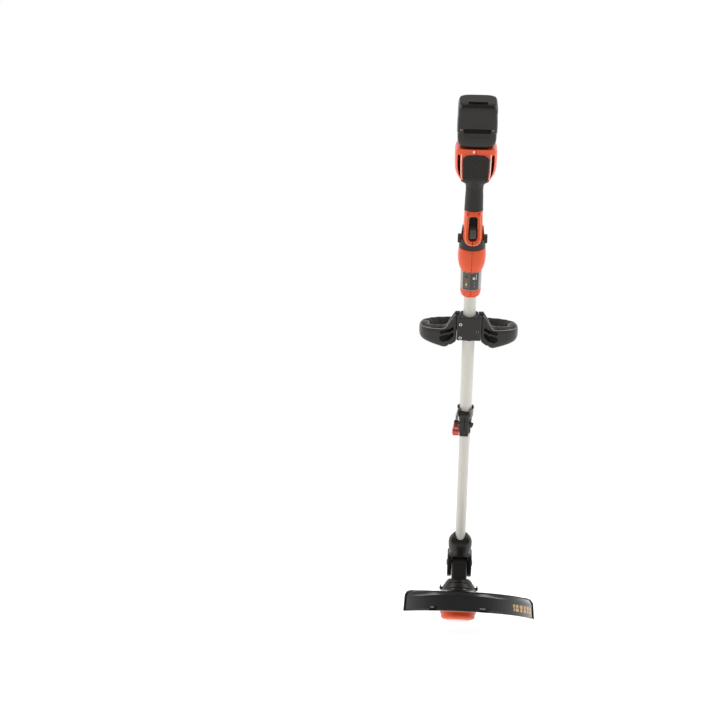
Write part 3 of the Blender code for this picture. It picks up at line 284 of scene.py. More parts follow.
def loft(name, rings, caps=True, closed=True):
    points = [p for ring in rings for p in ring]
    n = len(rings[0])
    faces = []
    for r in range(len(rings) - 1):
        for j in range(n if closed else n - 1):
            k = (j + 1) % n
            faces.append((r * n + j, r * n + k, (r + 1) * n + k, (r + 1) * n + j))
    if caps:
        faces.append(tuple(range(n)))
        faces.append(tuple(range((len(rings) - 1) * n, len(rings) * n)))
    return mesh_object(name, points, faces)


def ring_solid(name, rings):
    """A closed loop of rings, such as a torus."""
    points = [p for ring in rings for p in ring]
    n, m = len(rings[0]), len(rings)
    faces = []
    for r in range(m):
        q = (r + 1) % m
        for j in range(n):
            k = (j + 1) % n
            faces.append((r * n + j, r * n + k, q * n + k, q * n + j))
    return mesh_object(name, points, faces)


def prism(name, outline, lo, hi, axis="Z", edge=0.0, segments=3, warp=None):
    """An outline given thickness, with its two rims rounded by edge."""
    rings = []
    if edge:
        for k in range(segments + 1):
            a = math.pi / 2 * k / segments
            rings.append((edge * (1 - math.sin(a)), lo + edge * (1 - math.cos(a))))
        rings += [(d, hi - (w - lo)) for d, w in rings[::-1]]
    else:
        rings = [(0, lo), (0, hi)]
    made = []
    for d, w in rings:
        line = inset(outline, d) if d > 1e-9 else outline
        made.append([LAY[axis](u, v, w) for u, v in line])
    if warp:
        made = [[warp(p) for p in ring] for ring in made]
    return loft(name, made)


def block(name, lo, hi, edge=0.0, segments=3, axis="Z", side=None):
    """A box whose upright edges are rounded by side and whose rims are rounded by edge."""
    i, j, k = {"Z": (0, 1, 2), "X": (1, 2, 0), "Y": (0, 2, 1)}[axis]
    outline = [(lo[i], lo[j]), (hi[i], lo[j]), (hi[i], hi[j]), (lo[i], hi[j])]
    r = edge if side is None else side
    if r:
        outline = corners_rounded(outline, r, segments)
    return prism(name, outline, lo[k], hi[k], axis, edge, segments)


def turned(name, profile, steps=72, closed=None, edge=0.0, segments=3, radii=None):
    """A turned shape from (radius, height) points. A profile that doesn't touch the axis closes into a ring."""
    on_axis = profile[0][0] < 1e-6
    if radii is not None:
        profile = corners_rounded(profile, radii, segments, closed=not on_axis)
    elif edge:
        profile = corners_rounded(profile, edge, segments, closed=not on_axis)
    points, index = [], []
    for r, z in profile:
        if r < 1e-6:
            index.append([len(points)] * steps)
            points.append((0, 0, z))
        else:
            index.append(list(range(len(points), len(points) + steps)))
            points += [(r * math.cos(TAU * i / steps), r * math.sin(TAU * i / steps), z) for i in range(steps)]
    faces = []
    rows = list(zip(index, index[1:]))
    if not on_axis:
        rows.append((index[-1], index[0]))
    for a, b in rows:
        for i in range(steps):
            k = (i + 1) % steps
            face = [a[i], a[k], b[k], b[i]]
            face = [v for n, v in enumerate(face) if v not in face[:n]]
            if len(face) > 2:
                faces.append(tuple(face))
    return mesh_object(name, points, faces)


def rod(name, radius, lo, hi, axis="Z", at=(0, 0, 0), edge=0.0, steps=40, radius2=None):
    r2 = radius if radius2 is None else radius2
    profile = [(0, lo), (radius, lo), (r2, hi), (0, hi)]
    obj = turned(name, profile, steps, radii=[0, edge, edge, 0] if edge else None)
    turn = {"X": Matrix.Rotation(math.radians(90), 4, "Y"), "Y": Matrix.Rotation(math.radians(-90), 4, "X"), "Z": Matrix.Identity(4)}[axis]
    return shift(obj, at_mm(*at) @ turn)


def oval(a, front, back, power, count, z, start=-math.pi / 2):
    mid, deep = (front + back) / 2, (back - front) / 2
    ring = []
    for i in range(count):
        t = start + TAU * i / count
        c, s = math.cos(t), math.sin(t)
        r = 1 / ((abs(c) ** power + abs(s) ** power) ** (1 / power))
        ring.append((a * c * r, mid + deep * s * r, z))
    return ring


def half_oval(a, front, back, power, count, side, z, off=0.15, groove=0.0):
    mid, deep = (front + back) / 2, (back - front) / 2
    ring = []
    for i in range(count + 1):
        t = -math.pi / 2 + math.pi * i / count
        c, s = max(0.0, math.cos(t)), math.sin(t)
        r = 1 / ((c**power + abs(s) ** power) ** (1 / power))
        ring.append([off + (a - off) * c * r, mid + deep * s * r])
    first, last = ring[0], ring[-1]
    lip_front, lip_back = [off + 0.45, first[1]], [off + 0.45, last[1]]
    first[1] += groove
    last[1] -= groove
    ring = [first, lip_front, *ring[1:-1], lip_back, last]
    return [(side * x, y, z) for x, y in ring]


def tube_along(name, path, radius, sides=14, flat=1.0):
    """A round bar along a smooth path, with closed ends."""
    path = [Vector(p) for p in path]
    rings, up = [], Vector((0, 0, 1))
    for i, p in enumerate(path):
        ahead = (path[min(i + 1, len(path) - 1)] - path[max(i - 1, 0)]).normalized()
        across = ahead.cross(up)
        if across.length < 1e-4:
            across = ahead.cross(Vector((0, 1, 0)))
        across.normalize()
        over = across.cross(ahead).normalized()
        rings.append([tuple(p + across * radius * math.cos(TAU * k / sides) + over * radius * flat * math.sin(TAU * k / sides)) for k in range(sides)])
    return loft(name, rings)


def smooth_path(points, per=6):
    """Catmull-Rom points through the given ones, whatever they hold."""
    out = []
    n = len(points)
    for i in range(n - 1):
        p0, p1, p2, p3 = points[max(0, i - 1)], points[i], points[i + 1], points[min(n - 1, i + 2)]
        for k in range(per):
            t = k / per
            out.append(
                tuple(
                    0.5 * (2 * b + (c - a) * t + (2 * a - 5 * b + 4 * c - d) * t * t + (3 * b - a - 3 * c + d) * t**3)
                    for a, b, c, d in zip(p0, p1, p2, p3)
                )
            )
    out.append(tuple(points[-1]))
    return out


# ---- materials ----------------------------------------------------------------------------------------------------
def surface(
    name, colour, rough, metal=0.0, mottle=0.06, mottle_scale=30.0, grain=0.35, depth=0.012, spec=0.5, coat=0.0, coat_rough=0.08,
    sheen=0.0, rough_spread=0.05, lines=None,
):
    """A moulded or metal surface: slow colour variation, patchy roughness and a fine moulded grain, in millimetres."""
    mat = bpy.data.materials.new(name)
    mat.use_nodes = True
    nodes, links = mat.node_tree.nodes, mat.node_tree.links
    shader = nodes["Principled BSDF"]
    coords = nodes.new("ShaderNodeTexCoord")

    slow = nodes.new("ShaderNodeTexNoise")
    slow.inputs["Scale"].default_value = mottle_scale
    slow.inputs["Detail"].default_value = 4.0
    slow.inputs["Roughness"].default_value = 0.62
    links.new(coords.outputs["Object"], slow.inputs["Vector"])
    mix = nodes.new("ShaderNodeMix")
    mix.data_type = "RGBA"
    mix.inputs["A"].default_value = (*(max(0.0, c * (1 - mottle)) for c in colour), 1)
    mix.inputs["B"].default_value = (*(min(1.0, c * (1 + mottle)) for c in colour), 1)
    links.new(slow.outputs["Fac"], mix.inputs["Factor"])
    links.new(mix.outputs["Result"], shader.inputs["Base Color"])

    patch = nodes.new("ShaderNodeTexNoise")
    patch.inputs["Scale"].default_value = 140.0
    patch.inputs["Detail"].default_value = 3.0
    links.new(coords.outputs["Object"], patch.inputs["Vector"])
    spread = nodes.new("ShaderNodeMapRange")
    spread.inputs["To Min"].default_value = max(0.02, rough - rough_spread)
    spread.inputs["To Max"].default_value = min(1.0, rough + rough_spread)
    links.new(patch.outputs["Fac"], spread.inputs["Value"])
    links.new(spread.outputs["Result"], shader.inputs["Roughness"])

    fine = nodes.new("ShaderNodeTexNoise")
    fine.inputs["Scale"].default_value = 1000.0 / grain
    fine.inputs["Detail"].default_value = 2.0
    links.new(coords.outputs["Object"], fine.inputs["Vector"])
    height = fine.outputs["Fac"]
    if lines:
        wave = nodes.new("ShaderNodeTexWave")
        wave.bands_direction = lines[0]
        wave.inputs["Scale"].default_value = lines[1]
        wave.inputs["Distortion"].default_value = lines[2]
        links.new(coords.outputs["Object"], wave.inputs["Vector"])
        both = nodes.new("ShaderNodeMath")
        both.operation = "ADD"
        links.new(fine.outputs["Fac"], both.inputs[0])
        links.new(wave.outputs["Fac"], both.inputs[1])
        height = both.outputs["Value"]
    bump = nodes.new("ShaderNodeBump")
    bump.inputs["Strength"].default_value = 0.6
    bump.inputs["Distance"].default_value = depth * MM
    links.new(height, bump.inputs["Height"])
    links.new(bump.outputs["Normal"], shader.inputs["Normal"])

    shader.inputs["Metallic"].default_value = metal
    shader.inputs["Specular IOR Level"].default_value = spec
    shader.inputs["Coat Weight"].default_value = coat
    shader.inputs["Coat Roughness"].default_value = coat_rough
    shader.inputs["Sheen Weight"].default_value = sheen
    return mat


ORANGE = surface("orange_abs", (0.69, 0.066, 0.005), 0.32, mottle=0.05, grain=0.5, depth=0.010)
BLACK = surface("black_nylon", (0.0140, 0.0120, 0.0100), 0.36, mottle=0.14, grain=0.45, depth=0.016, spec=0.36)
GUARD = surface("guard_polymer", (0.0115, 0.0115, 0.0115), 0.20, mottle=0.12, grain=0.8, depth=0.004, rough_spread=0.04, coat=0.5, coat_rough=0.12)
# Matt black, used for the release bar and as painted shade in slots, recesses and notches.
MATT_AND_SHADE = surface("matt_nylon_and_painted_shade", (0.0045, 0.0044, 0.0042), 0.7, mottle=0.14, grain=0.45, depth=0.02, spec=0.15)
SMOKE = surface("smoke_nylon", (0.125, 0.122, 0.115), 0.30, mottle=0.12, grain=0.45, depth=0.010)
# A pale colour used as painted highlight on the dock ridges, the seam nub and the spool cap's bump face.
PALE_HIGHLIGHT = surface("pale_painted_highlight", (0.86, 0.66, 0.60), 0.24, mottle=0.04, grain=0.5, depth=0.006)
GREY = surface("grey_nylon", (0.040, 0.037, 0.036), 0.46, mottle=0.12, grain=0.4, depth=0.014)
RUBBER = surface("overmould_rubber", (0.020, 0.018, 0.0155), 0.62, mottle=0.16, grain=0.6, depth=0.04, spec=0.3)
TUBE = surface("tube_paint", (0.60, 0.585, 0.53), 0.36, mottle=0.025, grain=1.6, depth=0.006, rough_spread=0.04)
STEEL = surface("zinc_steel", (0.62, 0.61, 0.59), 0.30, metal=1.0, mottle=0.08, grain=0.3, depth=0.01)
# Dull steel, also used as painted shade on the right-hand clamp screw.
DULL_STEEL_AND_SHADE = surface("dull_steel_and_painted_shade", (0.17, 0.16, 0.15), 0.5, metal=0.6, mottle=0.14, grain=0.3, depth=0.012)
BRIGHT = surface("plated_steel", (0.74, 0.74, 0.73), 0.20, metal=1.0, mottle=0.05, grain=0.25, depth=0.008)
RED = surface("red_abs", (0.56, 0.050, 0.022), 0.22, mottle=0.06, grain=0.5, depth=0.006, coat=0.5, coat_rough=0.1)
# Darker red, used as painted shade on the height lever.
RED_PAINTED_SHADE = surface("red_abs_painted_shade", (0.085, 0.014, 0.008), 0.34, mottle=0.10, grain=0.5, depth=0.010)
# Coral, used as a painted highlight bead along the trigger rim.
CORAL_HIGHLIGHT = surface("coral_painted_highlight", (0.93, 0.27, 0.13), 0.26, mottle=0.05, grain=0.5, depth=0.006)
CELLS = surface("cell_wrap", (0.10, 0.16, 0.34), 0.35, mottle=0.10, grain=0.6, depth=0.01)
BOARD = surface("board_laminate", (0.012, 0.10, 0.035), 0.40, mottle=0.35, mottle_scale=260.0, grain=0.5, depth=0.03)
LINE = surface("nylon_line", (0.70, 0.60, 0.20), 0.38, mottle=0.10, grain=0.5, depth=0.02, lines=("Z", 190.0, 0.4))
# Grey of the label band, also used as painted highlight on the front handle's arms.
LABEL_BASE_AND_HIGHLIGHT = surface("label_base_and_painted_highlight", (0.33, 0.305, 0.29), 0.26, mottle=0.08, grain=0.9, depth=0.004)
LABEL_DARK = surface("label_dark", (0.030, 0.028, 0.025), 0.26, mottle=0.10, grain=0.9, depth=0.004)
LABEL_GOLD = surface("label_gold", (0.125, 0.085, 0.036), 0.30, mottle=0.22, mottle_scale=220.0, grain=0.9, depth=0.004)
LABEL_GREY = surface("label_grey", (0.040, 0.037, 0.035), 0.30, mottle=0.22, mottle_scale=260.0, grain=0.9, depth=0.004)
LABEL_PALE = surface("label_pale", (0.55, 0.53, 0.50), 0.30, mottle=0.06, grain=0.9, depth=0.004)
AMBER = surface("label_amber", (0.58, 0.36, 0.15), 0.30, mottle=0.16, mottle_scale=160.0, grain=0.9, depth=0.004)
PALE_FLOOR = surface("studio_floor", (0.55, 0.55, 0.548), 0.6, mottle=0.004, grain=3.0, depth=0.002, spec=0.1)
PALE_FLOOR.node_tree.nodes["Principled BSDF"].inputs["Emission Color"].default_value = (1.0, 1.0, 1.0, 1.0)
PALE_FLOOR.node_tree.nodes["Principled BSDF"].inputs["Emission Strength"].default_value = 0.86

BODY_OF = {node: body for body, nodes in frame["record"]["behaviour"]["bodies"].items() for node in nodes}


def piece(obj, place, mat, nodes=(), body=None, smooth=32, weighted=True):
    """Finishes a piece: its normals, its place, its material, the body it rides on and the nodes it stands for."""
    if isinstance(nodes, str):
        nodes = (nodes,)
    many = bmesh.new()
    many.from_mesh(obj.data)
    bmesh.ops.triangulate(many, faces=[f for f in many.faces if len(f.verts) > 4])
    many.to_mesh(obj.data)
    many.free()
    shade(obj, smooth, weighted)
    obj.data.transform(place)
    obj.data.materials.clear()
    obj.data.materials.append(mat)
    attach(obj, body or BODY_OF[nodes[0]])
    if nodes:
        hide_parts(*nodes)
    return obj


def repaint(node, mat):
    """A better material on a CAD node that stays."""
    obj = frame["nodes"][node]
    if not obj.material_slots:
        obj.data.materials.append(mat)
    for slot in obj.material_slots:
        slot.material = mat


def screw(name, at, axis, length, node, place, head_r=3.2, head_h=1.8, shank_r=1.5, flip=False, mat=STEEL, drive="star"):
    """A screw with a rounded pan head and a driven recess. Its head's under side is at the point."""
    head = turned(
        name,
        [(0, head_h), (head_r * 0.55, head_h), (head_r * 0.85, head_h * 0.8), (head_r, head_h * 0.35), (head_r, 0), (shank_r, 0), (shank_r, -length + 1.2), (shank_r * 0.5, -length), (0, -length)],
        48,
        radii=[0, 0.3, 0.4, 0.3, 0.1, 0, 0.2, 0, 0],
    )
    if drive == "star":
        star = []
        for i in range(48):
            a = TAU * i / 48
            r = head_r * (0.46 + 0.085 * math.cos(6 * a))
            star.append((r * math.cos(a), r * math.sin(a)))
        recess = prism(name + "_recess", star, head_h - 1.0, head_h + 2)
    elif drive == "hexagon":
        recess = prism(name + "_recess", [(head_r * 0.62 * math.cos(TAU * i / 6), head_r * 0.62 * math.sin(TAU * i / 6)) for i in range(6)], head_h - 1.5, head_h + 2)
    else:
        recess = block(name + "_recess", (-head_r * 0.6, -0.45, head_h - 1.0), (head_r * 0.6, 0.45, head_h + 2))
        combine(recess, block(name + "_recess2", (-0.45, -head_r * 0.6, head_h - 1.0), (0.45, head_r * 0.6, head_h + 2)), "UNION")
    cut(head, recess)
    shift(head, at_mm(*at) @ turn_to(axis, flip))
    return piece(head, place, mat, node)


# ---- rear handle --------------------------------------------------------------------------------------------------
WALL = 2.2


def walled(z, a, front, back, wall=WALL):
    return (z, a - wall, front + wall, back - wall)


SHELL_SPANS = [
    [
        (144.0, 14.9, -14.9, 14.9, 2.0, 144.0, 13.3, -13.3, 13.3),
        (145.2, 16.9, -16.9, 16.9, 2.0, 145.0, 13.3, -13.3, 13.3),
        (147.4, 18.6, -18.6, 18.6, 2.0, 147.4, 13.3, -13.3, 13.3),
        (152.6, 20.4, -20.4, 20.4, 2.0, 152.6, 13.3, -13.3, 13.3),
        (160.7, 21.0, -21.0, 21.0, 2.0, 156.0, 13.3, -13.3, 13.3),
    ],
    [
        (161.0, 19.3, -19.3, 19.3, 2.0, 157.0, 17.0, -17.0, 17.0),
        (199.7, 19.3, -19.3, 19.3, 2.0, 199.7, 17.0, -17.0, 17.0),
    ],
    [
        (200.0, 21.4, -21.4, 21.4, 2.0, 201.0, 17.6, -17.6, 17.6),
        (203.5, 22.9, -22.9, 22.9, 2.0, *walled(204.0, 22.6, -22.6, 22.6)),
        (209.0, 24.9, -24.8, 24.8, 2.0, *walled(209.5, 24.8, -24.7, 24.7)),
        (219.0, 27.2, -27.0, 26.9, 2.0, *walled(219.0, 27.2, -27.0, 26.9)),
        (231.0, 28.0, -27.8, 27.4, 2.0, *walled(231.0, 28.0, -27.8, 27.4)),
        (241.0, 27.4, -27.0, 26.8, 2.0, *walled(240.0, 27.4, -27.0, 26.8)),
        (246.7, 26.4, -25.8, 26.0, 2.0, 243.5, 21.5, -21.5, 22.0),
    ],
    [
        (247.0, 21.6, -22.0, 22.6, 2.0, 245.0, 19.3, -19.6, 20.2),
        (266.6, 21.4, -22.4, 22.9, 2.1, *walled(266.6, 21.4, -22.4, 22.9)),
        (282.0, 19.8, -22.8, 24.0, 2.2, *walled(282.0, 19.8, -22.8, 24.0)),
        (304.0, 18.8, -22.0, 23.4, 2.2, *walled(304.0, 18.8, -22.0, 23.4)),
        (325.7, 18.2, -20.8, 22.5, 2.2, 322.0, 15.9, -18.3, 20.0),
    ],
    [
        (326.0, 15.7, -18.0, 20.0, 2.2, 325.0, 13.5, -15.8, 17.8),
        (350.0, 15.4, -17.6, 20.8, 2.2, *walled(350.0, 15.4, -17.6, 20.8)),
        (371.0, 14.8, -17.2, 19.0, 2.2, *walled(372.0, 14.8, -17.2, 19.0)),
        (379.0, 17.6, -20.0, 21.0, 2.3, *walled(380.0, 17.0, -19.6, 20.6)),
        (386.7, 23.0, -27.6, 28.0, 2.6, *walled(388.5, 22.6, -27.2, 27.6)),
    ],
    [
        (387.0, 27.2, -33.0, 34.0, 3.0, *walled(389.5, 27.6, -31.0, 32.0)),
        (390.5, 29.4, -36.8, 36.8, 3.1, *walled(392.0, 29.8, -35.0, 35.6)),
        (395.0, 32.2, -39.5, 39.0, 3.3, *walled(396.0, 32.4, -39.0, 38.6)),
        (399.0, 34.6, -40.4, 40.4, 3.5, *walled(399.5, 34.6, -40.2, 40.2)),
        (403.0, 36.7, -41.0, 41.4, 3.7, *walled(403.5, 36.7, -40.8, 41.2)),
        (408.0, 38.6, -41.0, 42.0, 3.9, *walled(408.5, 38.6, -40.8, 41.8)),
        (416.0, 40.3, -41.0, 42.0, 4.0, *walled(416.0, 40.3, -41.0, 42.0)),
        (441.0, 41.0, -41.0, 42.0, 4.0, *walled(441.0, 41.0, -41.0, 42.0)),
        (457.0, 40.5, -42.0, 42.0, 4.0, *walled(454.6, 40.5, -41.0, 42.0)),
    ],
    [
        (457.3, 33.6, 24.6, 42.0, 4.0, 455.2, 31.4, 26.8, 39.8),
        (518.0, 33.6, 24.6, 42.0, 4.0, 518.0, 31.4, 26.8, 39.8),
        (525.0, 32.8, 24.8, 41.0, 4.0, 523.6, 30.6, 27.0, 38.8),
        (528.0, 31.6, 25.2, 38.5, 4.0, 525.8, 29.4, 27.4, 36.3),
    ],
]
STEP_ROUND = 0.7


def shell_rows():
    spans = [refine(span, 2.4) for span in SHELL_SPANS]
    spans[1] = [SHELL_SPANS[1][0], SHELL_SPANS[1][1]]
    for below, above in zip(spans, spans[1:]):
        # The wider side of each step gets a rounded rim.
        for span, row, way in ((below, below[-1], -1), (above, above[0], 1)):
            other = above[0] if span is below else below[-1]
            if row[1] <= other[1] + 0.5 or row[2] > other[2] + 5 or other[2] > row[2] + 30:
                continue
            rounded = []
            for k in range(4):
                t = math.pi / 2 * k / 3
                pull = STEP_ROUND * (1 - math.sin(t))
                z = row[0] + way * STEP_ROUND * (1 - math.cos(t))
                rounded.append((z, row[1] - pull, row[2] + pull, row[3] - pull, *row[4:]))
            near = [r for r in span if abs(r[0] - row[0]) > STEP_ROUND * 1.3]
            if span is below:
                span[:] = near + rounded[::-1]
            else:
                span[:] = rounded + near
    return [row for span in spans for row in span]


ROWS = shell_rows()
RIM_ROWS = [
    (256.4, 3.0, -26.4), (257.4, 7.0, -26.8), (260.0, 11.6, -27.1), (264.5, 15.0, -27.0), (271.0, 17.2, -26.6),
    (290.0, 17.4, -25.2), (308.0, 16.6, -23.6), (316.0, 15.8, -22.6), (323.0, 13.4, -19.8),
]
rim_front = pchip([(z, f) for z, _, f in RIM_ROWS])
SCREW_SPOTS = [(13.5, 234.0, 24.4), (13.0, 303.0, 15.8), (20.0, 420.0, 40.0), (33.0, 492.0, 32.6)]


def front_of_rim(z):
    return rim_front(max(256.4, min(323.0, z)))[0]


def half_shell(name, side):
    count = 30
    outer = [half_oval(a, f, k, p, count, side, z, groove=0.5) for z, a, f, k, p, *_ in ROWS]
    inner = [half_oval(ai, fi, ki, p, count, side, zi) for z, a, f, k, p, zi, ai, fi, ki in ROWS]
    n = len(outer[0])
    points = [q for ring in outer + inner for q in ring]
    base = len(outer) * n
    faces = []
    for i in range(len(outer) - 1):
        for j in range(n - 1):
            faces.append((i * n + j, i * n + j + 1, (i + 1) * n + j + 1, (i + 1) * n + j))
            faces.append((base + i * n + j, base + i * n + j + 1, base + (i + 1) * n + j + 1, base + (i + 1) * n + j))
        for j in (0, n - 1):
            faces.append((i * n + j, (i + 1) * n + j, base + (i + 1) * n + j, base + i * n + j))
    for j in range(n - 1):
        faces.append((j, j + 1, base + j + 1, base + j))
    top = (len(outer) - 1) * n
    faces.append(tuple(range(top, top + n)))
    faces.append(tuple(range(base + top, base + top + n)))
    faces.append((top, top + n - 1, base + top + n - 1, base + top))
    return mesh_object(name, points, faces)


def rim_outline():
    right = [(w, z) for z, w, _ in refine(RIM_ROWS[:5], 1.4)] + [(w, z) for z, w, _ in refine(RIM_ROWS[4:], 4.0)[1:]]
    return [(0.0, 256.4)] + right + [(0.0, 323.0)]


def slot_outline():
    return corners_rounded([(-8.3, 267.4), (8.3, 267.4), (8.3, 315.2), (-8.3, 315.2)], [5.4, 5.4, 4.4, 4.4], 8)


dock_side = pchip([(z, a, f, q) for z, a, f, _, q, *_ in SHELL_SPANS[5]])
for side, name in ((-1, "left_handle_shell"), (1, "right_handle_shell")):
    shell = half_shell(name + "_skin", side)
    # The U-shaped rim round the trigger, its edge rounded.
    outline = rim_outline()
    rings = []
    for drop, depth in ((2.0, 0.0), (1.0, 0.28), (0.4, 0.8), (0.0, 1.8), (0.0, None)):
        ring = []
        for x, z in inset(outline, drop):
            x = max(0.15, x)
            y = -15.0 if depth is None else front_of_rim(z) + depth
            ring.append((side * x, y, z))
        rings.append(ring)
    join(shell, loft("rim", rings))
    # The slot has a bevelled mouth.
    rings = []
    for grow, depth in ((2.4, -8.0), (2.4, -0.2), (1.6, 0.7), (0.0, 2.2), (0.0, 16.0)):
        rings.append([(x, front_of_rim(z) + depth, z) for x, z in inset(slot_outline(), -grow)])
    cut(shell, loft("slot", rings))
    cut(shell, block("window", (-34, -6.4, 256.4), (34, 6.4, 272.6), side=1.6, axis="X"))
    # The dock's shoulders fall away at both sides.
    fill = loft("shoulder", [oval(a, -41.4, 41.4, 4.0, 72, z) for z, a in ((443.0, 40.3), (456.4, 40.0))])
    combine(fill, block("shoulder_room", (32.6 if side > 0 else -50, -36.0, 440), (50 if side > 0 else -32.6, 38.0, 460)), "INTERSECT")
    join(shell, fill)
    slope = corners_rounded([(32.0, 470.0), (32.0, 457.4), (36.0, 455.0), (39.0, 451.2), (41.4, 446.4), (52.0, 446.4), (52.0, 470.0)], [0, 0, 5, 5, 0, 0, 0], 5)
    cut(shell, prism("shoulder_slope", [(side * x, z) for x, z in slope], -34.0, 60.0, "Y"))
    # A tall slot runs down each side of the pad, narrowing at its foot.
    vent = []
    for z, lo, hi in ((398.4, 28.3, 28.9), (402.0, 28.6, 30.4), (408.0, 29.1, 32.6), (418.0, 29.7, 34.6), (432.0, 30.0, 35.6), (441.0, 30.2, 35.4), (444.0, 31.0, 34.8), (445.2, 32.0, 34.0)):
        vent.append([(side * lo, -60, z), (side * hi, -60, z), (side * hi, -29, z), (side * lo, -29, z)])
    cut(shell, loft("vent", vent))
    # Three finger-wide grooves in the flat side of the dock, as deep at the foot as at the top.
    for k in range(3):
        middle, rings = -9.75 + 11.0 * k, []
        for z, half, deep in refine([(411.0, 0.5, 0.9), (412.0, 1.7, 1.1), (413.6, 2.3, 1.25), (440.4, 2.3, 1.25), (442.0, 1.7, 1.1), (443.0, 0.5, 0.9)], 2.0):
            near = side * (dock_side(z)[0] - deep)
            rings.append([(near, middle - half, z), (side * 50, middle - half, z), (side * 50, middle + half, z), (near, middle + half, z)])
        cut(shell, loft("side_groove", rings))
    for y, z, out in SCREW_SPOTS:
        boss = rod("boss", 4.8, 0.15 if side > 0 else -out + 1.2, out - 1.2 if side > 0 else -0.15, "X", (0, y, z), steps=32)
        join(shell, boss)
        if side > 0:
            cut(shell, rod("sink", 3.6, out - 4.0, 60, "X", (0, y, z), steps=32))
            cut(shell, rod("pilot", 1.8, -1, 60, "X", (0, y, z), steps=24))
    # A fine line round the handle, under the soft grip's foot.
    wide, narrow = oval(18.7, -21.7, 23.1, 2.2, 96, 0), oval(17.8, -20.6, 22.2, 2.2, 96, 0)
    line = [[(*w[:2], 322.6), (*w[:2], 323.4), (*n[:2], 323.4), (*n[:2], 322.6)] for w, n in zip(wide, narrow)]
    cut(shell, ring_solid("foot_line", line))
    piece(shell, SHAFT, ORANGE, name, smooth=34)

# A ridge stands between the pad and each tall slot, pale as a painted highlight, and a small pale nub near where the
# halves meet above the pad is a painted glint.
for side, name in ((-1, "dock_ridge_left"), (1, "dock_ridge_right")):
    rings = []
    for z, lo, hi, proud in refine([(398.2, 26.0, 26.6, 0.4), (402.0, 26.1, 27.8, 1.0), (412.0, 26.5, 28.9, 1.3), (436.0, 26.8, 29.2, 1.3), (445.0, 27.1, 29.0, 1.0), (447.4, 27.6, 28.5, 0.4)], 1.6):
        ring = []
        for k in range(9):
            t = k / 8
            x = lo + (hi - lo) * t
            a, f, q = dock_side(z)
            skin = 0.3 + f * max(0.0, 1 - (x / a) ** q) ** (1 / q)
            ring.append((side * x, skin - proud * math.sin(math.pi * t) ** 0.6, z))
        ring += [(side * hi, skin + 2.4, z), (side * lo, skin + 2.2, z)]
        rings.append(ring)
    piece(loft(name, rings), SHAFT, PALE_HIGHLIGHT, body="handle", smooth=50)
piece(block("seam_glint_nub", (-6.6, -42.1, 449.8), (-2.4, -39.5, 455.2), edge=0.7, segments=3, axis="Y", side=1.4), SHAFT, PALE_HIGHLIGHT, body="handle")

for number, (y, z, out) in enumerate(SCREW_SPOTS, 1):
    screw(f"shell_screw_{number}", (out - 3.7, y, z), "X", out - 3.7 + 9.5, f"handle_screw_{number}", SHAFT)

# Soft grip: a sleeve with a flared top, shallow bands in its sides and a rounded foot.
SLEEVE = [
    (326.3, 17.2, -19.6, 21.4, 2.2), (326.9, 17.9, -20.3, 22.1, 2.2), (329.0, 18.2, -20.6, 22.6, 2.2), (338.0, 18.2, -20.7, 23.5, 2.2),
    (352.0, 17.9, -20.1, 23.2, 2.2), (366.0, 17.2, -19.5, 21.8, 2.2), (373.0, 17.5, -19.9, 21.6, 2.2), (379.0, 19.6, -22.6, 23.6, 2.3),
    (383.5, 24.2, -27.4, 28.4, 2.5), (386.4, 27.4, -32.2, 33.2, 2.7),
]
rows = refine(SLEEVE, 1.0)
outer, inner = [], []
for z, a, f, k, p in rows:
    ring = []
    for i, (x, y, _) in enumerate(oval(a, f, k, p, 88, z)):
        # Bands of shallow grooves on both sides, where the fingers wrap.
        away = abs(math.atan2(y, abs(x)))
        keep = max(0.0, min(1.0, (0.75 - away) / 0.2)) * max(0.0, min(1.0, (z - 333) / 3)) * max(0.0, min(1.0, (368 - z) / 3))
        dip = 0.45 * keep * (0.5 + 0.5 * math.cos(TAU * (z - 333) / 5.0))
        length = math.hypot(x, y)
        ring.append((x * (1 - dip / length), y * (1 - dip / length), z))
    outer.append(ring)
    t = (z - 326.3) / 60.1
    thick = 2.0 + max(0.0, (z - 379) / 7.4) * 2.2
    inner.append(oval(a - thick, f + thick, k - thick, p, 88, z))
FLARE = [
    (386.4, 27.4, -32.2, 33.2, 2.7), (387.0, 27.9, -33.7, 34.7, 3.0), (390.5, 30.1, -37.5, 37.5, 3.1), (395.0, 32.9, -40.2, 39.7, 3.3),
    (399.0, 35.3, -41.0, 41.0, 3.5),
]
flare = pchip(FLARE)


def flare_point(i, z, pull):
    a, f, k, p = flare(z)
    return oval(a - pull, f + pull, k - pull, p, 88, z)[i]


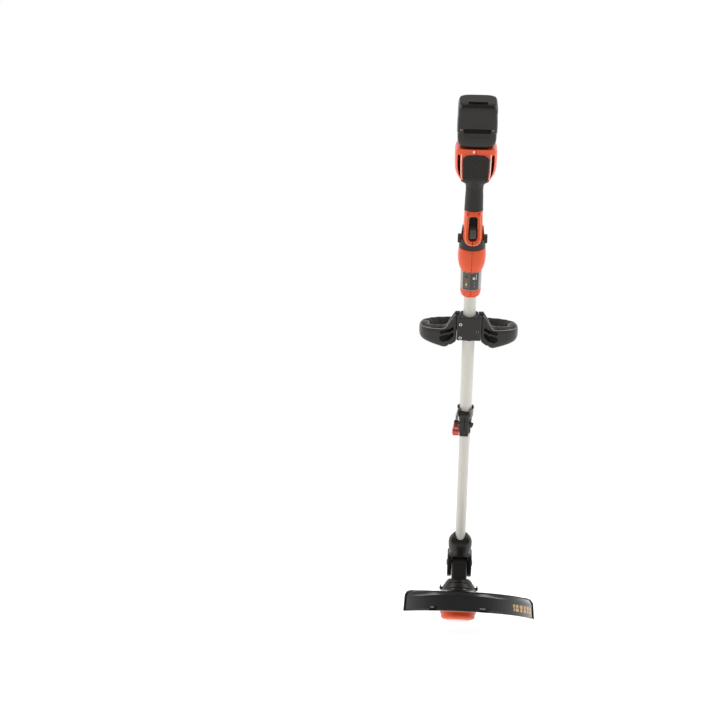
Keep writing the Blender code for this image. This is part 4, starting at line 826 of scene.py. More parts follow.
for step in range(1, 9):
    ring, under = [], []
    for i in range(88):
        top = 386.6
        for _ in range(4):
            y = flare_point(i, top, 0)[1]
            top = min(396.8, max(386.6, 384.0 - 0.293 * y))
        z = 386.4 + (top - 386.4) * min(step, 7) / 7
        ring.append(flare_point(i, z, 0.0 if step < 7 else 0.25 if step == 7 else 0.8))
        under.append(flare_point(i, z, 1.6))
    outer.append(ring)
    inner.append(under)
foot = pchip([(300.0, 19.0, -22.2, 23.9, 2.2), (312.0, 18.75, -21.6, 23.4, 2.2), (325.7, 18.5, -21.1, 22.9, 2.2), (327.0, 18.4, -21.0, 22.8, 2.2)])
for i in range(88):
    for level in range(len(outer)):
        x, y, z = outer[level][i]
        if z > 333.0:
            break
        low = 326.3 - 0.27 * min(32.0, max(0.0, y + 17.0))
        t = (z - 326.3) / 6.7
        zz = low + (333.0 - low) * t
        a, f, k, p = foot(min(327.0, zz))
        fx, fy, _ = oval(a, f, k, p, 88, zz)[i]
        blend = 1.0 if zz < 327.0 else max(0.0, 1 - (zz - 327.0) / 5.0)
        tuck = 0.7 * max(0.0, 1 - t * 8)
        shrink = 1 - tuck / 19.0
        outer[level][i] = ((fx * blend + x * (1 - blend)) * shrink, (fy * blend + y * (1 - blend)) * shrink, zz)
        ix, iy, _ = inner[level][i]
        inner[level][i] = (ix * 0.96, iy * 0.96, zz)
piece(ring_solid("grip_sleeve_soft", [list(r) for r in zip(*(outer + inner[::-1]))]), SHAFT, RUBBER, "grip_sleeve", smooth=50, weighted=False)

# Pad on the dock's front: a rounded slab with a field of small studs.
pad_outline = corners_rounded(
    [(-24.6, 396.4), (24.6, 396.4), (25.7, 439.6), (18.0, 444.6), (0.0, 446.2), (-18.0, 444.6), (-25.7, 439.6)], [3.5, 3.5, 6.0, 14.0, 40.0, 14.0, 6.0], 7
)
pad = prism("dock_pad_soft", pad_outline, -44.2, -41.4, "Y", edge=1.1, segments=4)
join(pad, prism("pad_foot", corners_rounded([(-24.4, 397.4), (24.4, 397.4), (25.0, 418.0), (-25.0, 418.0)], [3.3, 3.3, 2, 2], 6), -42.4, -34.0, "Y"))
studs, faces = [], []
pitch = 3.45
for i in range(-6, 7):
    for j in range(-5, 8):
        x, z = i * pitch, 419.0 + j * pitch
        if abs(x) > 22.4 or z > 443.0 or z < 400.6 or (abs(x) > 19.0 and z > 438):
            continue
        b = len(studs)
        studs += [(x + u * 1.35, -43.9, z + v * 1.35) for u, v in ((-1, -1), (1, -1), (1, 1), (-1, 1))]
        studs += [(x + u * 1.05, -44.62, z + v * 1.05) for u, v in ((-1, -1), (1, -1), (1, 1), (-1, 1))]
        faces += [(b, b + 1, b + 2, b + 3), (b + 4, b + 5, b + 6, b + 7)] + [(b + k, b + (k + 1) % 4, b + 4 + (k + 1) % 4, b + 4 + k) for k in range(4)]
join(pad, mesh_object("studs", studs, faces))
piece(pad, SHAFT, RUBBER, "dock_pad", smooth=30)

# Black collar above the bulb, open round the rim, with a thin tongue up each side.
collar = turned(
    "lock_collar_ring",
    [(24.6, 266.2), (25.6, 262.0), (26.4, 252.0), (26.6, 248.0), (26.0, 247.2), (23.4, 247.2), (23.4, 266.2)],
    96,
    radii=[0.6, 2, 2, 0.5, 0.3, 0, 0],
)
for side in (-1, 1):
    rings = []
    for z, x, t, w in refine([(258.0, 23.6, 1.2, 11.0), (266.6, 21.9, 2.0, 10.6), (274.0, 21.2, 1.9, 9.6), (284.0, 20.3, 1.5, 7.0), (291.0, 19.9, 0.9, 3.2), (292.6, 19.8, 0.4, 0.9)], 1.4):
        ring = []
        for k in range(9):
            a = -1 + k / 4
            ring.append((side * (x + t * (1 - abs(a) ** 3 * 0.35)), a * w, z))
        ring += [(side * (x - 0.2 - 0.6 * (1 - abs(a))), a * w, z) for a in (1.0, 0.5, 0.0, -0.5, -1.0)]
        rings.append(ring)
    join(collar, loft("tongue", rings))
cut(collar, block("window", (-34, -6.4, 256.4), (34, 6.4, 272.6), side=1.6, axis="X"))
room = [(x * 1.035, z - 0.5) for x, z in rim_outline() if z < 300]
room = [(-x, z) for x, z in room[1:][::-1]] + room
cut(collar, prism("rim_room", room, -40, -14, "Y"))
piece(collar, SHAFT, BLACK, "lock_collar")

# Label band: a plain dark ring with a blank, unprinted label let into its front.
band = turned("label_band_ring", [(20.9, 199.3), (21.1, 198.6), (21.1, 162.0), (20.9, 161.2), (19.6, 161.2), (19.6, 199.3)], 128)
piece(band, SHAFT, LABEL_BASE_AND_HIGHLIGHT, "label_band", weighted=False)


def curved_panel(name, radius, thick, a0, a1, z0, z1, corner, mat, body, place=SHAFT, centre=(0, 0), steps=24, cone=0.0):
    """A thin rounded panel laid on a round surface. Angles are in degrees from -Y towards +X."""
    width = math.radians(a1 - a0) * radius
    width = round(width, 3)
    outline = [(round(u, 3), v) for u, v in corners_rounded([(0, z0), (width, z0), (width, z1), (0, z1)], corner, 5)]
    points, faces = [], []
    us = sorted({u for u, _ in outline} | {round(width * i / steps, 3) for i in range(steps + 1)})
    columns = []
    for u in us:
        zs = []
        n = len(outline)
        for i in range(n):
            (u1, v1), (u2, v2) = outline[i], outline[(i + 1) % n]
            if abs(u2 - u1) < 1e-9:
                if abs(u - u1) < 1e-6:
                    zs += [v1, v2]
            elif min(u1, u2) - 1e-6 <= u <= max(u1, u2) + 1e-6:
                zs.append(v1 + (v2 - v1) * (u - u1) / (u2 - u1))
        columns.append((u, min(zs), max(zs)))
    for u, lo, hi in columns:
        a = math.radians(a0) + u / radius
        for z, r in ((lo, radius), (lo + 0.15, radius + thick), (hi - 0.15, radius + thick), (hi, radius)):
            rr = r + cone * (z - z0)
            points.append((centre[0] + rr * math.sin(a), centre[1] - rr * math.cos(a), z))
    for i in range(len(columns) - 1):
        for k in range(4):
            m = (k + 1) % 4
            faces.append((i * 4 + k, i * 4 + m, (i + 1) * 4 + m, (i + 1) * 4 + k))
    faces.append((0, 1, 2, 3))
    end = (len(columns) - 1) * 4
    faces.append((end, end + 1, end + 2, end + 3))
    return piece(mesh_object(name, points, faces), place, mat, body=body, weighted=False)


curved_panel("label_plate", 21.08, 0.10, -49, 46, 162.4, 198.4, 1.2, LABEL_DARK, "handle")
curved_panel("label_field_left", 21.17, 0.07, -44, -6, 165.4, 196.4, 1.0, LABEL_GOLD, "handle")
curved_panel("label_field_right", 21.17, 0.07, -3, 42, 165.4, 196.4, 1.0, LABEL_GREY, "handle")
# Plain rows and blocks fill the two fields.
rows_of_blocks = [(9, 22, 184.4, 189.6, LABEL_PALE), (28, 31, 184.0, 195.2, LABEL_PALE), (-30, -22, 171.0, 176.4, LABEL_PALE), (-38, -16, 186.0, 193.0, LABEL_DARK)]
for k in range(8):
    rows_of_blocks.append((2, 8 + 3 * (k % 3), 167.0 + 2.9 * k, 168.1 + 2.9 * k, LABEL_DARK))
    rows_of_blocks.append((14 + 2 * (k % 2), 27 - 3 * (k % 4), 167.0 + 2.0 * k, 167.8 + 2.0 * k, LABEL_PALE if k % 2 else LABEL_DARK))
    rows_of_blocks.append((33, 40 - (k % 3), 168.0 + 3.2 * k, 169.4 + 3.2 * k, LABEL_DARK))
for k in range(5):
    rows_of_blocks.append((-41, -33 + 2 * (k % 3), 167.0 + 3.4 * k, 168.4 + 3.4 * k, LABEL_DARK))
    rows_of_blocks.append((-19, -9 - 2 * (k % 2), 167.0 + 3.4 * k, 168.4 + 3.4 * k, LABEL_DARK))
for number, (a0, a1, z0, z1, mat) in enumerate(rows_of_blocks, 1):
    curved_panel(f"label_block_{number}", 21.23, 0.05, a0, a1, z0, z1, 0.3, mat, "handle", steps=6)

# Tubes: painted, with a slightly rounded mouth.
for name, node, r, bore, lo, hi in (
    ("upper_tube_painted", "upper_tube", 12.7, 11.6, -130.0, 222.0), ("lower_tube_painted", "lower_tube", 11.1, 9.9, -440.0, -40.0),
):
    tube = turned(name, [(r, hi), (r, lo), (bore, lo), (bore, hi)], 96, edge=0.4, segments=3)
    piece(tube, SHAFT, TUBE, node, weighted=False)

# ---- trigger and buttons ------------------------------------------------------------------------------------------
TRIGGER_OUTLINE = [
    (-26.2, 290.6), (-28.2, 283), (-28.6, 275), (-26.8, 272.0), (-20.5, 271.0), (-12.0, 270.8), (-9.5, 290),
    (-6.0, 311), (-6.0, 320.5), (-12.5, 320.5), (-13.2, 312.6), (-13.8, 303.0), (-16.5, 297.4), (-22.6, 294.4),
]
outline = corners_rounded(TRIGGER_OUTLINE, [2.4, 14, 10, 2.4, 3, 1.5, 4, 3, 3.5, 3, 1.5, 4, 3, 4], 5)
trigger = prism("trigger_blade", outline, -6.6, 6.6, "X", edge=2.0, segments=5)
cut(trigger, rod("bore", 2.3, -12, 12, "X", (0, -9.5, 317)))
cut(trigger, rod("spring_seat", 3.7, -14.6, 0, "Y", (0, 0, 275.4), steps=32))
for k in range(4):
    cut(trigger, rod("rib", 0.8, -5.2, 5.2, "X", (0, -29.05 + 0.12 * k, 275.5 + 3.6 * k), steps=16))
piece(trigger, SHAFT, GREY, "trigger", smooth=34)
# A matt black plate closes the slot above the blade as painted shade, and a thin coral bead along the rim is a painted
# highlight.
shade_plate = block("slot_shade_plate", (-8.2, -17.6, 298.4), (8.2, -16.4, 315.0), side=2.4, axis="Y")
piece(shade_plate, SHAFT, MATT_AND_SHADE, body="handle")
bead = [(x, z) for x, z in inset(rim_outline(), 2.7) if z < 318.5 and z > 257.0]
bead = sorted({(round(x, 3), round(z, 3)) for x, z in bead if x > 0.1}, key=lambda q: q[1])
bead = [(0.0, bead[0][1])] + bead
line = [(-x, front_of_rim(z) + 0.05, z) for x, z in bead[:0:-1]] + [(x, front_of_rim(z) + 0.05, z) for x, z in bead]
piece(tube_along("rim_highlight_bead", line, 0.8, 10), SHAFT, CORAL_HIGHLIGHT, body="handle", smooth=60, weighted=False)
piece(rod("trigger_pin_bar", 2.0, -12.8, 12.8, "X", (0, -9.5, 317), edge=0.3), SHAFT, STEEL, "trigger_pin")
coil = [(2.6 * math.cos(TAU * i / 20), -10.2 + 7.4 * i / 80, 275 + 2.6 * math.sin(TAU * i / 20)) for i in range(81)]
spring = tube_along("trigger_spring_coil", coil, 0.35, 8)
piece(spring, SHAFT, STEEL, "trigger_spring", smooth=60, weighted=False)
low = SHAFT @ (Vector((0, -2.6, 275)) * MM)
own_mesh(spring)
for side, name in ((-1, "lock_button_left"), (1, "lock_button_right")):
    outline = [
        (14.8, -7.6), (16.6, -7.6), (16.6, -6.1), (28.6, -6.1), (29.4, -5.0), (29.4, 5.0), (28.6, 6.1), (16.6, 6.1), (16.6, 7.6), (14.8, 7.6),
    ]
    outline = corners_rounded([(side * x, y) for x, y in outline], [0, 0, 0, 0.9, 0.9, 0.9, 0.9, 0, 0, 0], 3)
    button = prism(name + "_cap", outline, 256.7, 272.3, "Z", edge=0.9, segments=3)
    for k in range(4):
        cut(button, rod("rib", 0.55, -4.2, 4.2, "Y", (side * 29.55, 0, 260.0 + 3.0 * k), steps=14))
    piece(button, SHAFT, BLACK, name)

# ---- battery ------------------------------------------------------------------------------------------------------
PACK_LOW = [
    (457.8, 28.0, -34.4, 9.6, 3.4), (458.8, 30.2, -36.6, 10.6, 3.6), (461.0, 32.4, -39.2, 11.6, 4.2), (465.0, 34.8, -41.4, 12.1, 5.2), (470.0, 36.4, -42.6, 12.2, 6.0),
    (478.0, 37.3, -43.2, 12.2, 6.8), (488.4, 37.5, -43.6, 12.2, 7.0),
]
PACK_SLOPE, PACK_SLOPE_FROM = 0.112, 520.0
PACK_HIGH = [
    (488.6, 37.5, -43.6, 12.2, 7.0), (489.2, 37.7, -46.4, 12.2, 7.0), (490.2, 38.0, -48.9, 12.2, 7.0), (492.0, 38.3, -50.0, 12.2, 7.0),
    (496.0, 38.4, -50.4, 12.2, 7.0), (512.0, 38.2, -50.4, 12.2, 7.0), (526.0, 37.5, -50.3, 12.2, 7.0), (528.6, 37.9, -50.2, 12.2, 7.0),
    (533.0, 37.8, -50.0, 12.2, 6.6), (538.5, 36.9, -49.3, 12.0, 6.2), (542.0, 35.6, -47.8, 11.2, 5.6), (543.7, 34.0, -46.0, 10.0, 5.0),
    (544.2, 32.0, -44.0, 9.0, 4.6),
]


def pack_form(name):
    rows = refine(PACK_LOW, 1.6)[:-1] + refine(PACK_HIGH, 1.1)
    rings = [oval(a, f, k, p, 112, z) for z, a, f, k, p in rows]
    # Its end rises towards its back.
    return loft(name, [[(x, y, z + PACK_SLOPE * (y + 50.4) * max(0.0, (z - PACK_SLOPE_FROM) / 24.2)) for x, y, z in ring] for ring in rings])


case, cover = pack_form("battery_case_moulding"), pack_form("battery_cover_moulding")
join(cover, block("tongue_foot", (-20, 10.4, 459.0), (20, 17.0, 526), side=0.6), block("tongue_head", (-26, 16.6, 459.0), (26, 21.9, 526), edge=0.8, segments=2))
cut(cover, block("terminal_room", (-13.6, 11.7, 440), (13.6, 30, 472.5)))
for obj in (case, cover):
    cut(obj, block("cells_room", (-31.6, -38.6, 463.2), (31.6, 8.4, 536.2)))
cut(case, block("case_back", (-60, -8.15, 440), (60, 40, 570)))
cut(cover, block("cover_front", (-60, -80, 440), (60, -7.85, 570)))
# The latch sits in a long scooped slot in the end.
cut(case, block("release_room", (-18.6, -44.0, 537.7), (18.6, -29.2, 560), side=2.4))
# Between the two screws the broad face is scooped in underneath.
cut(case, prism("scoop", corners_rounded([(-60, 501.0), (-43.6, 498.6), (-42.0, 494.6), (-42.0, 486.4), (-43.2, 479.0), (-60, 470.0)], [0, 4, 3, 6, 4, 0], 5), -25.4, 25.4, "X", edge=3.0, segments=4))
# A matt black lining across the scoop is painted shade.
cut(case, block("shade_lining_room", (-24.8, -43.4, 488.4), (24.8, -40.6, 498.0), side=2.6, axis="Y"))
piece(block("scoop_shade_lining", (-24.7, -43.3, 488.5), (24.7, -40.7, 497.9), edge=0.6, segments=3, axis="Y", side=2.6), SHAFT, MATT_AND_SHADE, body=BODY_OF["battery_case"])
# A shallow sunk field on the broad face, four grooves across its low part and three short grooves in each side.
for number, (x0, x1, z0, z1) in enumerate([(-28.0, 28.0, 504.5, 532.5)], 1):
    field = prism(f"face_field_{number}", corners_rounded([(x0, z0), (x1, z0), (x1, z1), (x0, z1)], 5.0, 6), -60, -50.0, "Y")
    cut(case, field)
for k in range(4):
    cut(case, block("low_rib", (-24.0, -60, 463.6 + 5.6 * k), (24.0, -42.2 - 0.25 * k, 465.2 + 5.6 * k), side=0.7, axis="Y"))
for side in (-1, 1):
    for k in range(3):
        z = 503.0 + 8.4 * k
        cut(case, block("side_rib", (38.0 if side > 0 else -42, -40.0, z), (42 if side > 0 else -38.0, -14.0, z + 2.0), side=0.9, axis="X"))
for number, x in enumerate((-30.0, 30.0), 1):
    cut(case, rod("sink", 3.7, -60, -48.0, "Y", (x, 0, 497.2), steps=32), rod("hole", 1.8, -60, -41.0, "Y", (x, 0, 497.2), steps=20))
    screw(f"pack_screw_{number}", (x, -48.4, 497.2), "Y", 6.4, f"battery_screw_{number}", SHAFT, 2.7, 1.5, flip=True, mat=DULL_STEEL_AND_SHADE)
piece(case, SHAFT, BLACK, "battery_case", smooth=30)
piece(cover, SHAFT, BLACK, "battery_cover", smooth=30)
release = prism(
    "battery_release_bar",
    corners_rounded([(-17.9, 541.0), (-17.9, 544.5), (-8, 543.3), (8, 543.3), (17.9, 544.5), (17.9, 541.0)], [0.4, 1.0, 4, 4, 1.0, 0.4], 4),
    -41.8, -30.0, "Y", edge=0.8,
)
for k in range(5):
    cut(release, rod("rib", 0.5, -40.8, -31.2, "Y", (-6.4 + 3.2 * k, 0, 543.45), steps=12))
piece(release, SHAFT, MATT_AND_SHADE, "battery_release")

# ---- front handle -------------------------------------------------------------------------------------------------
front = prism(
    "clamp_front_plate",
    corners_rounded(
        [(-24.6, -21.6), (-22.6, -23.6), (22.6, -23.6), (24.6, -21.6), (24.6, -17.2), (18.5, -17.2), (18.5, -0.25), (-18.5, -0.25), (-18.5, -17.2), (-24.6, -17.2)],
        [1.2, 1.6, 1.6, 1.2, 0.6, 0, 0.3, 0.3, 0, 0.6], 4,
    ),
    53.0, 102.0, "Z", edge=1.4, segments=4,
)
# Its foot runs down into a short cup round the tube, and its head dips between two ears.
join(front, cut(turned("cup", [(17.6, 58.0), (16.8, 52.0), (15.0, 48.6), (12.0, 48.0), (12.0, 58.0)], 72, radii=[0, 3, 2, 0.5, 0]), block("cup_back", (-30, -0.25, 40), (30, 30, 70))))
for side in (-1, 1):
    join(front, prism("ear", corners_rounded([(side * 17.8, 98.0), (side * 24.6, 98.0), (side * 24.4, 105.4), (side * 21.8, 107.2), (side * 19.0, 105.0)], [0, 0, 1.4, 1.2, 1.4], 4), -23.4, -17.4, "Y", edge=0.8))
cut(front, rod("dip", 14.8, -60, 0, "Y", (0, 0, 114.6), steps=72))
rear = prism("clamp_rear_block", corners_rounded([(-18.5, 0.25), (18.5, 0.25), (18.5, 15.0), (12.5, 20.0), (-12.5, 20.0), (-18.5, 15.0)], [0.2, 0.2, 3, 4, 4, 3], 5), 53.0, 102.0, "Z", edge=1.4, segments=4)
for k in range(3):
    cut(rear, block("web", (-10.5, 17.0, 59.0 + 13.0 * k), (10.5, 30, 68.5 + 13.0 * k), side=1.6, axis="Y"))
for side in (-1, 1):
    wing = block("side_wing", (17.0 if side > 0 else -24.4, 1.0, 53.6), (24.4 if side > 0 else -17.0, 11.0, 74.4), edge=1.2, segments=3, axis="Z", side=2.4)
    join(rear, wing)
for obj in (front, rear):
    cut(obj, rod("tube_bore", 13.0, 30, 120, "Z", steps=72), rod("pin_bore", 3.8, -31.5, 31.5, "X", (0, 0, 94.5), steps=28))
for number, (x, z) in enumerate(((-17.2, 88.0), (-17.2, 58.6), (17.2, 73.0)), 1):
    cut(front, rod("sink", 3.7, -40, -22.2, "Y", (x, 0, z), steps=32), rod("hole", 1.5, -30, 12, "Y", (x, 0, z), steps=20))
    cut(rear, rod("hole", 1.5, -30, 12, "Y", (x, 0, z), steps=20))
    # The screws on the left are plated steel and the one on the right the darker steel as painted shade; a matt disc in
    # each hex recess is painted shade.
    screw(f"clamp_screw_{number}", (x, -22.5, z), "Y", 32.0, f"aux_screw_{number}", SHAFT, 3.45, 1.9, 1.15, flip=True, mat=BRIGHT if x < 0 else DULL_STEEL_AND_SHADE, drive="hexagon")
    piece(rod(f"clamp_screw_socket_shade_{number}", 1.9, -23.5, -22.9, "Y", (x, 0, z), edge=0.1, steps=24), SHAFT, MATT_AND_SHADE, body=BODY_OF[f"aux_screw_{number}"])
piece(front, SHAFT, BLACK, "aux_clamp_front")
piece(rear, SHAFT, BLACK, "aux_clamp_rear")
for side, name in ((-1, "aux_pivot_left"), (1, "aux_pivot_right")):
    pin = turned(name + "_pin", [(0, 31.2), (2.9, 31.2), (3.5, 30.6), (3.5, 14.2), (0, 14.2)], 48, radii=[0, 0.2, 0.2, 0.2, 0])
    cut(pin, block("hexagon", (-1.6, -1.6, 29.6), (1.6, 1.6, 33)))
    piece(shift(pin, at_mm(0, 0, 94.5) @ turn_to("X", side < 0)), SHAFT, STEEL, name)

LOOP = [
    (18.9, 0.0, 93.0, 13.6, 13.0), (25.2, 0.0, 92.2, 14.2, 13.0), (28.8, 0.3, 78.5, 28.0, 12.8), (37.0, 1.6, 65.0, 29.0, 11.8),
    (47.0, 3.6, 52.2, 24.2, 11.0), (62.0, 8.0, 50.8, 21.2, 10.6), (77.0, 15.5, 51.0, 18.6, 11.0), (86.5, 27.0, 50.2, 17.0, 11.6),
    (90.0, 43.0, 49.0, 16.6, 12.0), (88.0, 60.0, 46.5, 15.8, 12.0), (79.0, 76.5, 43.5, 15.0, 12.0), (60.0, 89.0, 41.5, 14.4, 12.0),
    (32.0, 95.5, 40.2, 14.2, 12.0), (0.0, 97.5, 39.8, 14.2, 12.0),
]
LOOP_ALL = LOOP + [(-x, y, z, h, t) for x, y, z, h, t in LOOP[-2::-1]]
PER = 7
LOOP_FINE = smooth_path(LOOP_ALL, PER)
GRIP_FROM, GRIP_TO = 9 * PER, 17 * PER


def loop_ring(i, trim=0.0, count=40, power=3.0, slide=0.0, bump=0.0):
    x, y, z, h, t = LOOP_FINE[i]
    before, after = Vector(LOOP_FINE[max(0, i - 1)][:2]), Vector(LOOP_FINE[min(len(LOOP_FINE) - 1, i + 1)][:2])
    along = (after - before).normalized()
    if i in (0, len(LOOP_FINE) - 1):
        along = Vector((1.0, 0.0)) if i == 0 else Vector((1.0, 0.0))
    if i in (0, len(LOOP_FINE) - 1):
        along = Vector((1.0, 0.0))
    across = Vector((-along.y, along.x))
    ring = []
    for k in range(count):
        a = TAU * (k + 0.5) / count
        c, s = math.cos(a), math.sin(a)
        r = 1 / ((abs(c) ** power + abs(s) ** power) ** (1 / power))
        u, v = (t - trim) * c * r, (h - trim) * s * r
        if bump:
            u, v = u * (1 - bump / 12), v * (1 - bump / 15)
        ring.append((x + across.x * u + along.x * slide, y + across.y * u + along.y * slide, z + v))
    return ring


rings = []
last = len(LOOP_FINE) - 1
for i in range(last + 1):
    if GRIP_FROM < i < GRIP_TO:
        rings.append(loop_ring(i, 2.3))
    elif i == GRIP_FROM:
        rings += [loop_ring(i, 0.8, slide=0.0), loop_ring(i, 2.3, slide=0.6)]
    elif i == GRIP_TO:
        rings += [loop_ring(i, 2.3, slide=-0.6), loop_ring(i, 0.8, slide=0.0)]
    elif i in (0, last):
        way = 1 if i == 0 else -1
        end = [loop_ring(i, 1.6, slide=0.0), loop_ring(i, 0.5, slide=way * 0.4), loop_ring(i, 0.0, slide=way * 1.4)]
        rings += end if i == 0 else end[::-1]
    else:
        rings.append(loop_ring(i, 0.0))
loop = loft("aux_handle_frame", rings)
for side in (-1, 1):
    web = [(24.95, 101.0), (24.95, 52.0), (26.0, 47.0), (33.0, 41.4), (39.0, 37.8), (44.0, 50.0), (39.0, 84.0), (31.0, 98.0)]
    join(loop, prism("web", corners_rounded([(side * x, z) for x, z in web], [3, 1.5, 3, 4, 3, 4, 6, 4], 4), -14.6, 11.6, "Y", edge=1.2, segments=3))
cut(loop, rod("pin_bore", 3.8, -31.5, 31.5, "X", (0, 0, 94.5), steps=28))
# Two curved slots in each arm, with a lit rib between and round them.
POCKETS = [
    [(61.0, 60.5), (57.0, 65.6), (50.0, 67.0), (42.0, 71.6), (33.6, 78.6), (30.4, 76.8), (31.0, 72.6), (40.0, 65.4), (49.0, 60.8), (57.0, 58.0)],
    [(60.0, 45.5), (59.6, 51.6), (56.0, 54.4), (50.0, 56.6), (41.0, 61.0), (33.0, 67.0), (30.4, 65.0), (31.0, 58.4), (37.0, 51.4), (44.0, 45.0), (53.0, 41.0)],
]
for side in (-1, 1):
    for outline in POCKETS:
        cut(loop, prism("pocket", corners_rounded([(side * x, z) for x, z in outline], 2.4, 4), -30, -4.6, "Y"))
piece(loop, SHAFT, BLACK, "aux_handle", smooth=34)
# A matt black floor in each slot is painted shade.
for side in (-1, 1):
    for number, outline in enumerate(POCKETS, 1):
        low = corners_rounded([(side * x, z) for x, z in inset(outline, 0.3)], 2.2, 4)
        floor_y = -5.0
        piece(prism(f"arm_slot_shade_{'left' if side < 0 else 'right'}_{number}", low, floor_y, floor_y + 1.0, "Y"), SHAFT, MATT_AND_SHADE, body="front_handle")

# A pale line along each arm's upper front edge is a painted highlight.
for side, name in ((-1, "arm_line_left"), (1, "arm_line_right")):
    points = []
    for i in range(PER + 2, 7 * PER + 3):
        x, y, z, h, t = LOOP_FINE[i]
        along = (Vector(LOOP_FINE[i + 1][:2]) - Vector(LOOP_FINE[i - 1][:2])).normalized()
        points.append((side * (x + along.y * t * 0.80), y - along.x * t * 0.80, z + h * 0.80))
    piece(tube_along(name, points, 0.55, 10), SHAFT, LABEL_BASE_AND_HIGHLIGHT, body="front_handle", smooth=60, weighted=False)

outer, inner = [], []
for i in range(GRIP_FROM, GRIP_TO + 1):
    edge = min(i - GRIP_FROM, GRIP_TO - i)
    slide = 1.0 if i == GRIP_FROM else -1.0 if i == GRIP_TO else 0.0
    for part, where in ((0.0, 0.0),) if edge else ((0.9, 0.0), (0.0, 0.9)):
        sign = 1 if i == GRIP_FROM else -1
        wave = 0.5 * (0.5 + 0.5 * math.cos(TAU * i / PER * 1.5)) if edge > 4 else 0.0
        outer.append(loop_ring(i, part + wave, slide=slide + sign * where))
        inner.append(loop_ring(i, 2.0, slide=slide + sign * where))
if outer[-1][0] != outer[-2][0]:
    outer[-2:], inner[-2:] = outer[-2:][::-1], inner[-2:][::-1]
grip = ring_solid("aux_grip_soft", [list(r) for r in zip(*(outer + inner[::-1]))])
piece(grip, SHAFT, RUBBER, "aux_grip", smooth=50, weighted=False)

# ---- height clamp and lever ---------------------------------------------------------------------------------------
clamp = turned(
    "height_clamp_body",
    [(13.9, -126.0), (14.2, -131.0), (13.6, -136.0), (13.5, -160.0), (13.2, -165.0), (11.5, -165.0), (11.5, -130.9), (12.95, -130.3), (12.95, -126.0)],
    96,
    radii=[0.3, 2, 3, 2, 1.0, 0.4, 0.2, 0.2, 0.3],
)
ears = prism("ears", corners_rounded([(-11.5, -5.4), (-11.5, -24.5), (-9.5, -26.5), (5.5, -26.5), (7.5, -24.5), (7.5, -5.4)], [0, 1.5, 1.5, 1.5, 1.5, 0], 4), -164, -112, "Z", edge=1.6, segments=4)
cut(ears, rod("bore", 13.0, -130.9, -100, "Z", steps=72), rod("bore", 11.5, -180, -130, "Z", steps=72))
join(clamp, ears)
cut(clamp, rod("mouth", 13.5, -40, 40, "X", (0, -26.0, -101.6), steps=64))
cut(clamp, block("split", (-2.6, -40, -150), (-1.2, -16, -119)), block("side_relief", (11.9, -40, -170), (30, 40, -147.0), side=2.0, axis="Y"))
for z, x0, x1 in ((-124.0, -9.6, -4.4), (-124.0, 0.8, 5.4), (-153.0, -9.2, -4.8), (-153.0, 0.4, 5.2)):
    cut(clamp, block("relief", (x0, -40, z - 6.5), (x1, -25.5, z + 6.5), side=1.0, axis="Y"))
cut(clamp, rod("bolt_bore", 2.7, -30, 30, "X", (0, -20, -136), steps=24))
piece(clamp, SHAFT, BLACK, "height_clamp")

# A paler flared ring stands round the top, with a thin dark lip and a bracket over the lever.
ring = turned(
    "height_clamp_ring",
    [(17.4, -107.0), (17.1, -109.0), (16.5, -116.0), (15.9, -126.0), (14.6, -129.0), (13.0, -129.0), (13.0, -119.0), (15.2, -109.4), (16.3, -107.0)],
    96,
    radii=[0.2, 2, 6, 4, 1, 0.3, 1, 1, 0.2],
)
join(ring, prism("bracket", corners_rounded([(-14.6, -110.5), (-15.4, -129.0), (-20.5, -128.6), (-20.5, -122.6), (-18.6, -116.0), (-16.6, -110.5)], [0, 0, 1.0, 3.0, 3.0, 0], 4), -22.6, -6.0, "Y", edge=0.6))
cut(ring, rod("bore", 13.0, -140, -100, "Z", steps=72))
cut(ring, block("ear_room", (-11.7, -40, -135), (7.7, -5.0, -100)))
cut(ring, block("gap", (7.5, -40, -126.0), (9.9, -4.0, -111.4), side=0.9, axis="Y"))
cut(ring, rod("mouth", 13.5, -40, 40, "X", (0, -26.0, -101.6), steps=64))
cut(ring, block("pin_room", (-22.8, -22.9, -132), (-12.0, -17.1, -128.2)))
piece(ring, SHAFT, SMOKE, body=BODY_OF["height_clamp"])
lip = turned("height_clamp_lip", [(17.5, -106.2), (17.45, -107.2), (16.7, -107.3), (16.9, -106.2)], 96, radii=[0.25, 0.25, 0.2, 0.2])
cut(lip, rod("mouth", 13.5, -40, 40, "X", (0, -26.0, -101.6), steps=64))
piece(lip, SHAFT, BLACK, body=BODY_OF["height_clamp"])
# The scooped front edge of the ring has a dark rolled edge of its own.
edge_path = []
for k in range(41):
    a = math.radians(-60 + 120 * k / 40)
    r = 16.5
    x, y = r * math.sin(a), -r * math.cos(a)
    edge_path.append((x, y, -101.6 - math.sqrt(max(0.0, 13.5**2 - (y + 26.0) ** 2))))
edge_path = [q for q in edge_path if q[2] < -105.9 and (q[0] < -11.6 or q[0] > 7.6)]
for number, part in enumerate(([q for q in edge_path if q[0] < 0], [q for q in edge_path if q[0] > 0]), 1):
    if len(part) > 2:
        piece(tube_along(f"ring_edge_{number}", part, 0.35, 10), SHAFT, BLACK, body=BODY_OF["height_clamp"], smooth=60, weighted=False)

bolt = turned("clamp_bolt_and_knob", [(0, 13.6), (2.4, 13.6), (3.4, 12.8), (3.6, 8.0), (2.3, 8.0), (2.3, -16.4), (0, -16.4)], 40, radii=[0, 0.6, 0.6, 0.4, 0, 0.2, 0])
shift(bolt, at_mm(0, -20, -136) @ turn_to("X"))
join(bolt, prism("wing", corners_rounded([(9.6, -138.0), (16.4, -133.6), (17.2, -137.0), (15.8, -141.8), (12.8, -146.0), (9.6, -142.6)], [0, 1.2, 3, 4, 1.2, 0], 5), -22.4, -17.6, "Y", edge=1.0, segments=3))
piece(bolt, SHAFT, BLACK, "height_clamp_bolt")

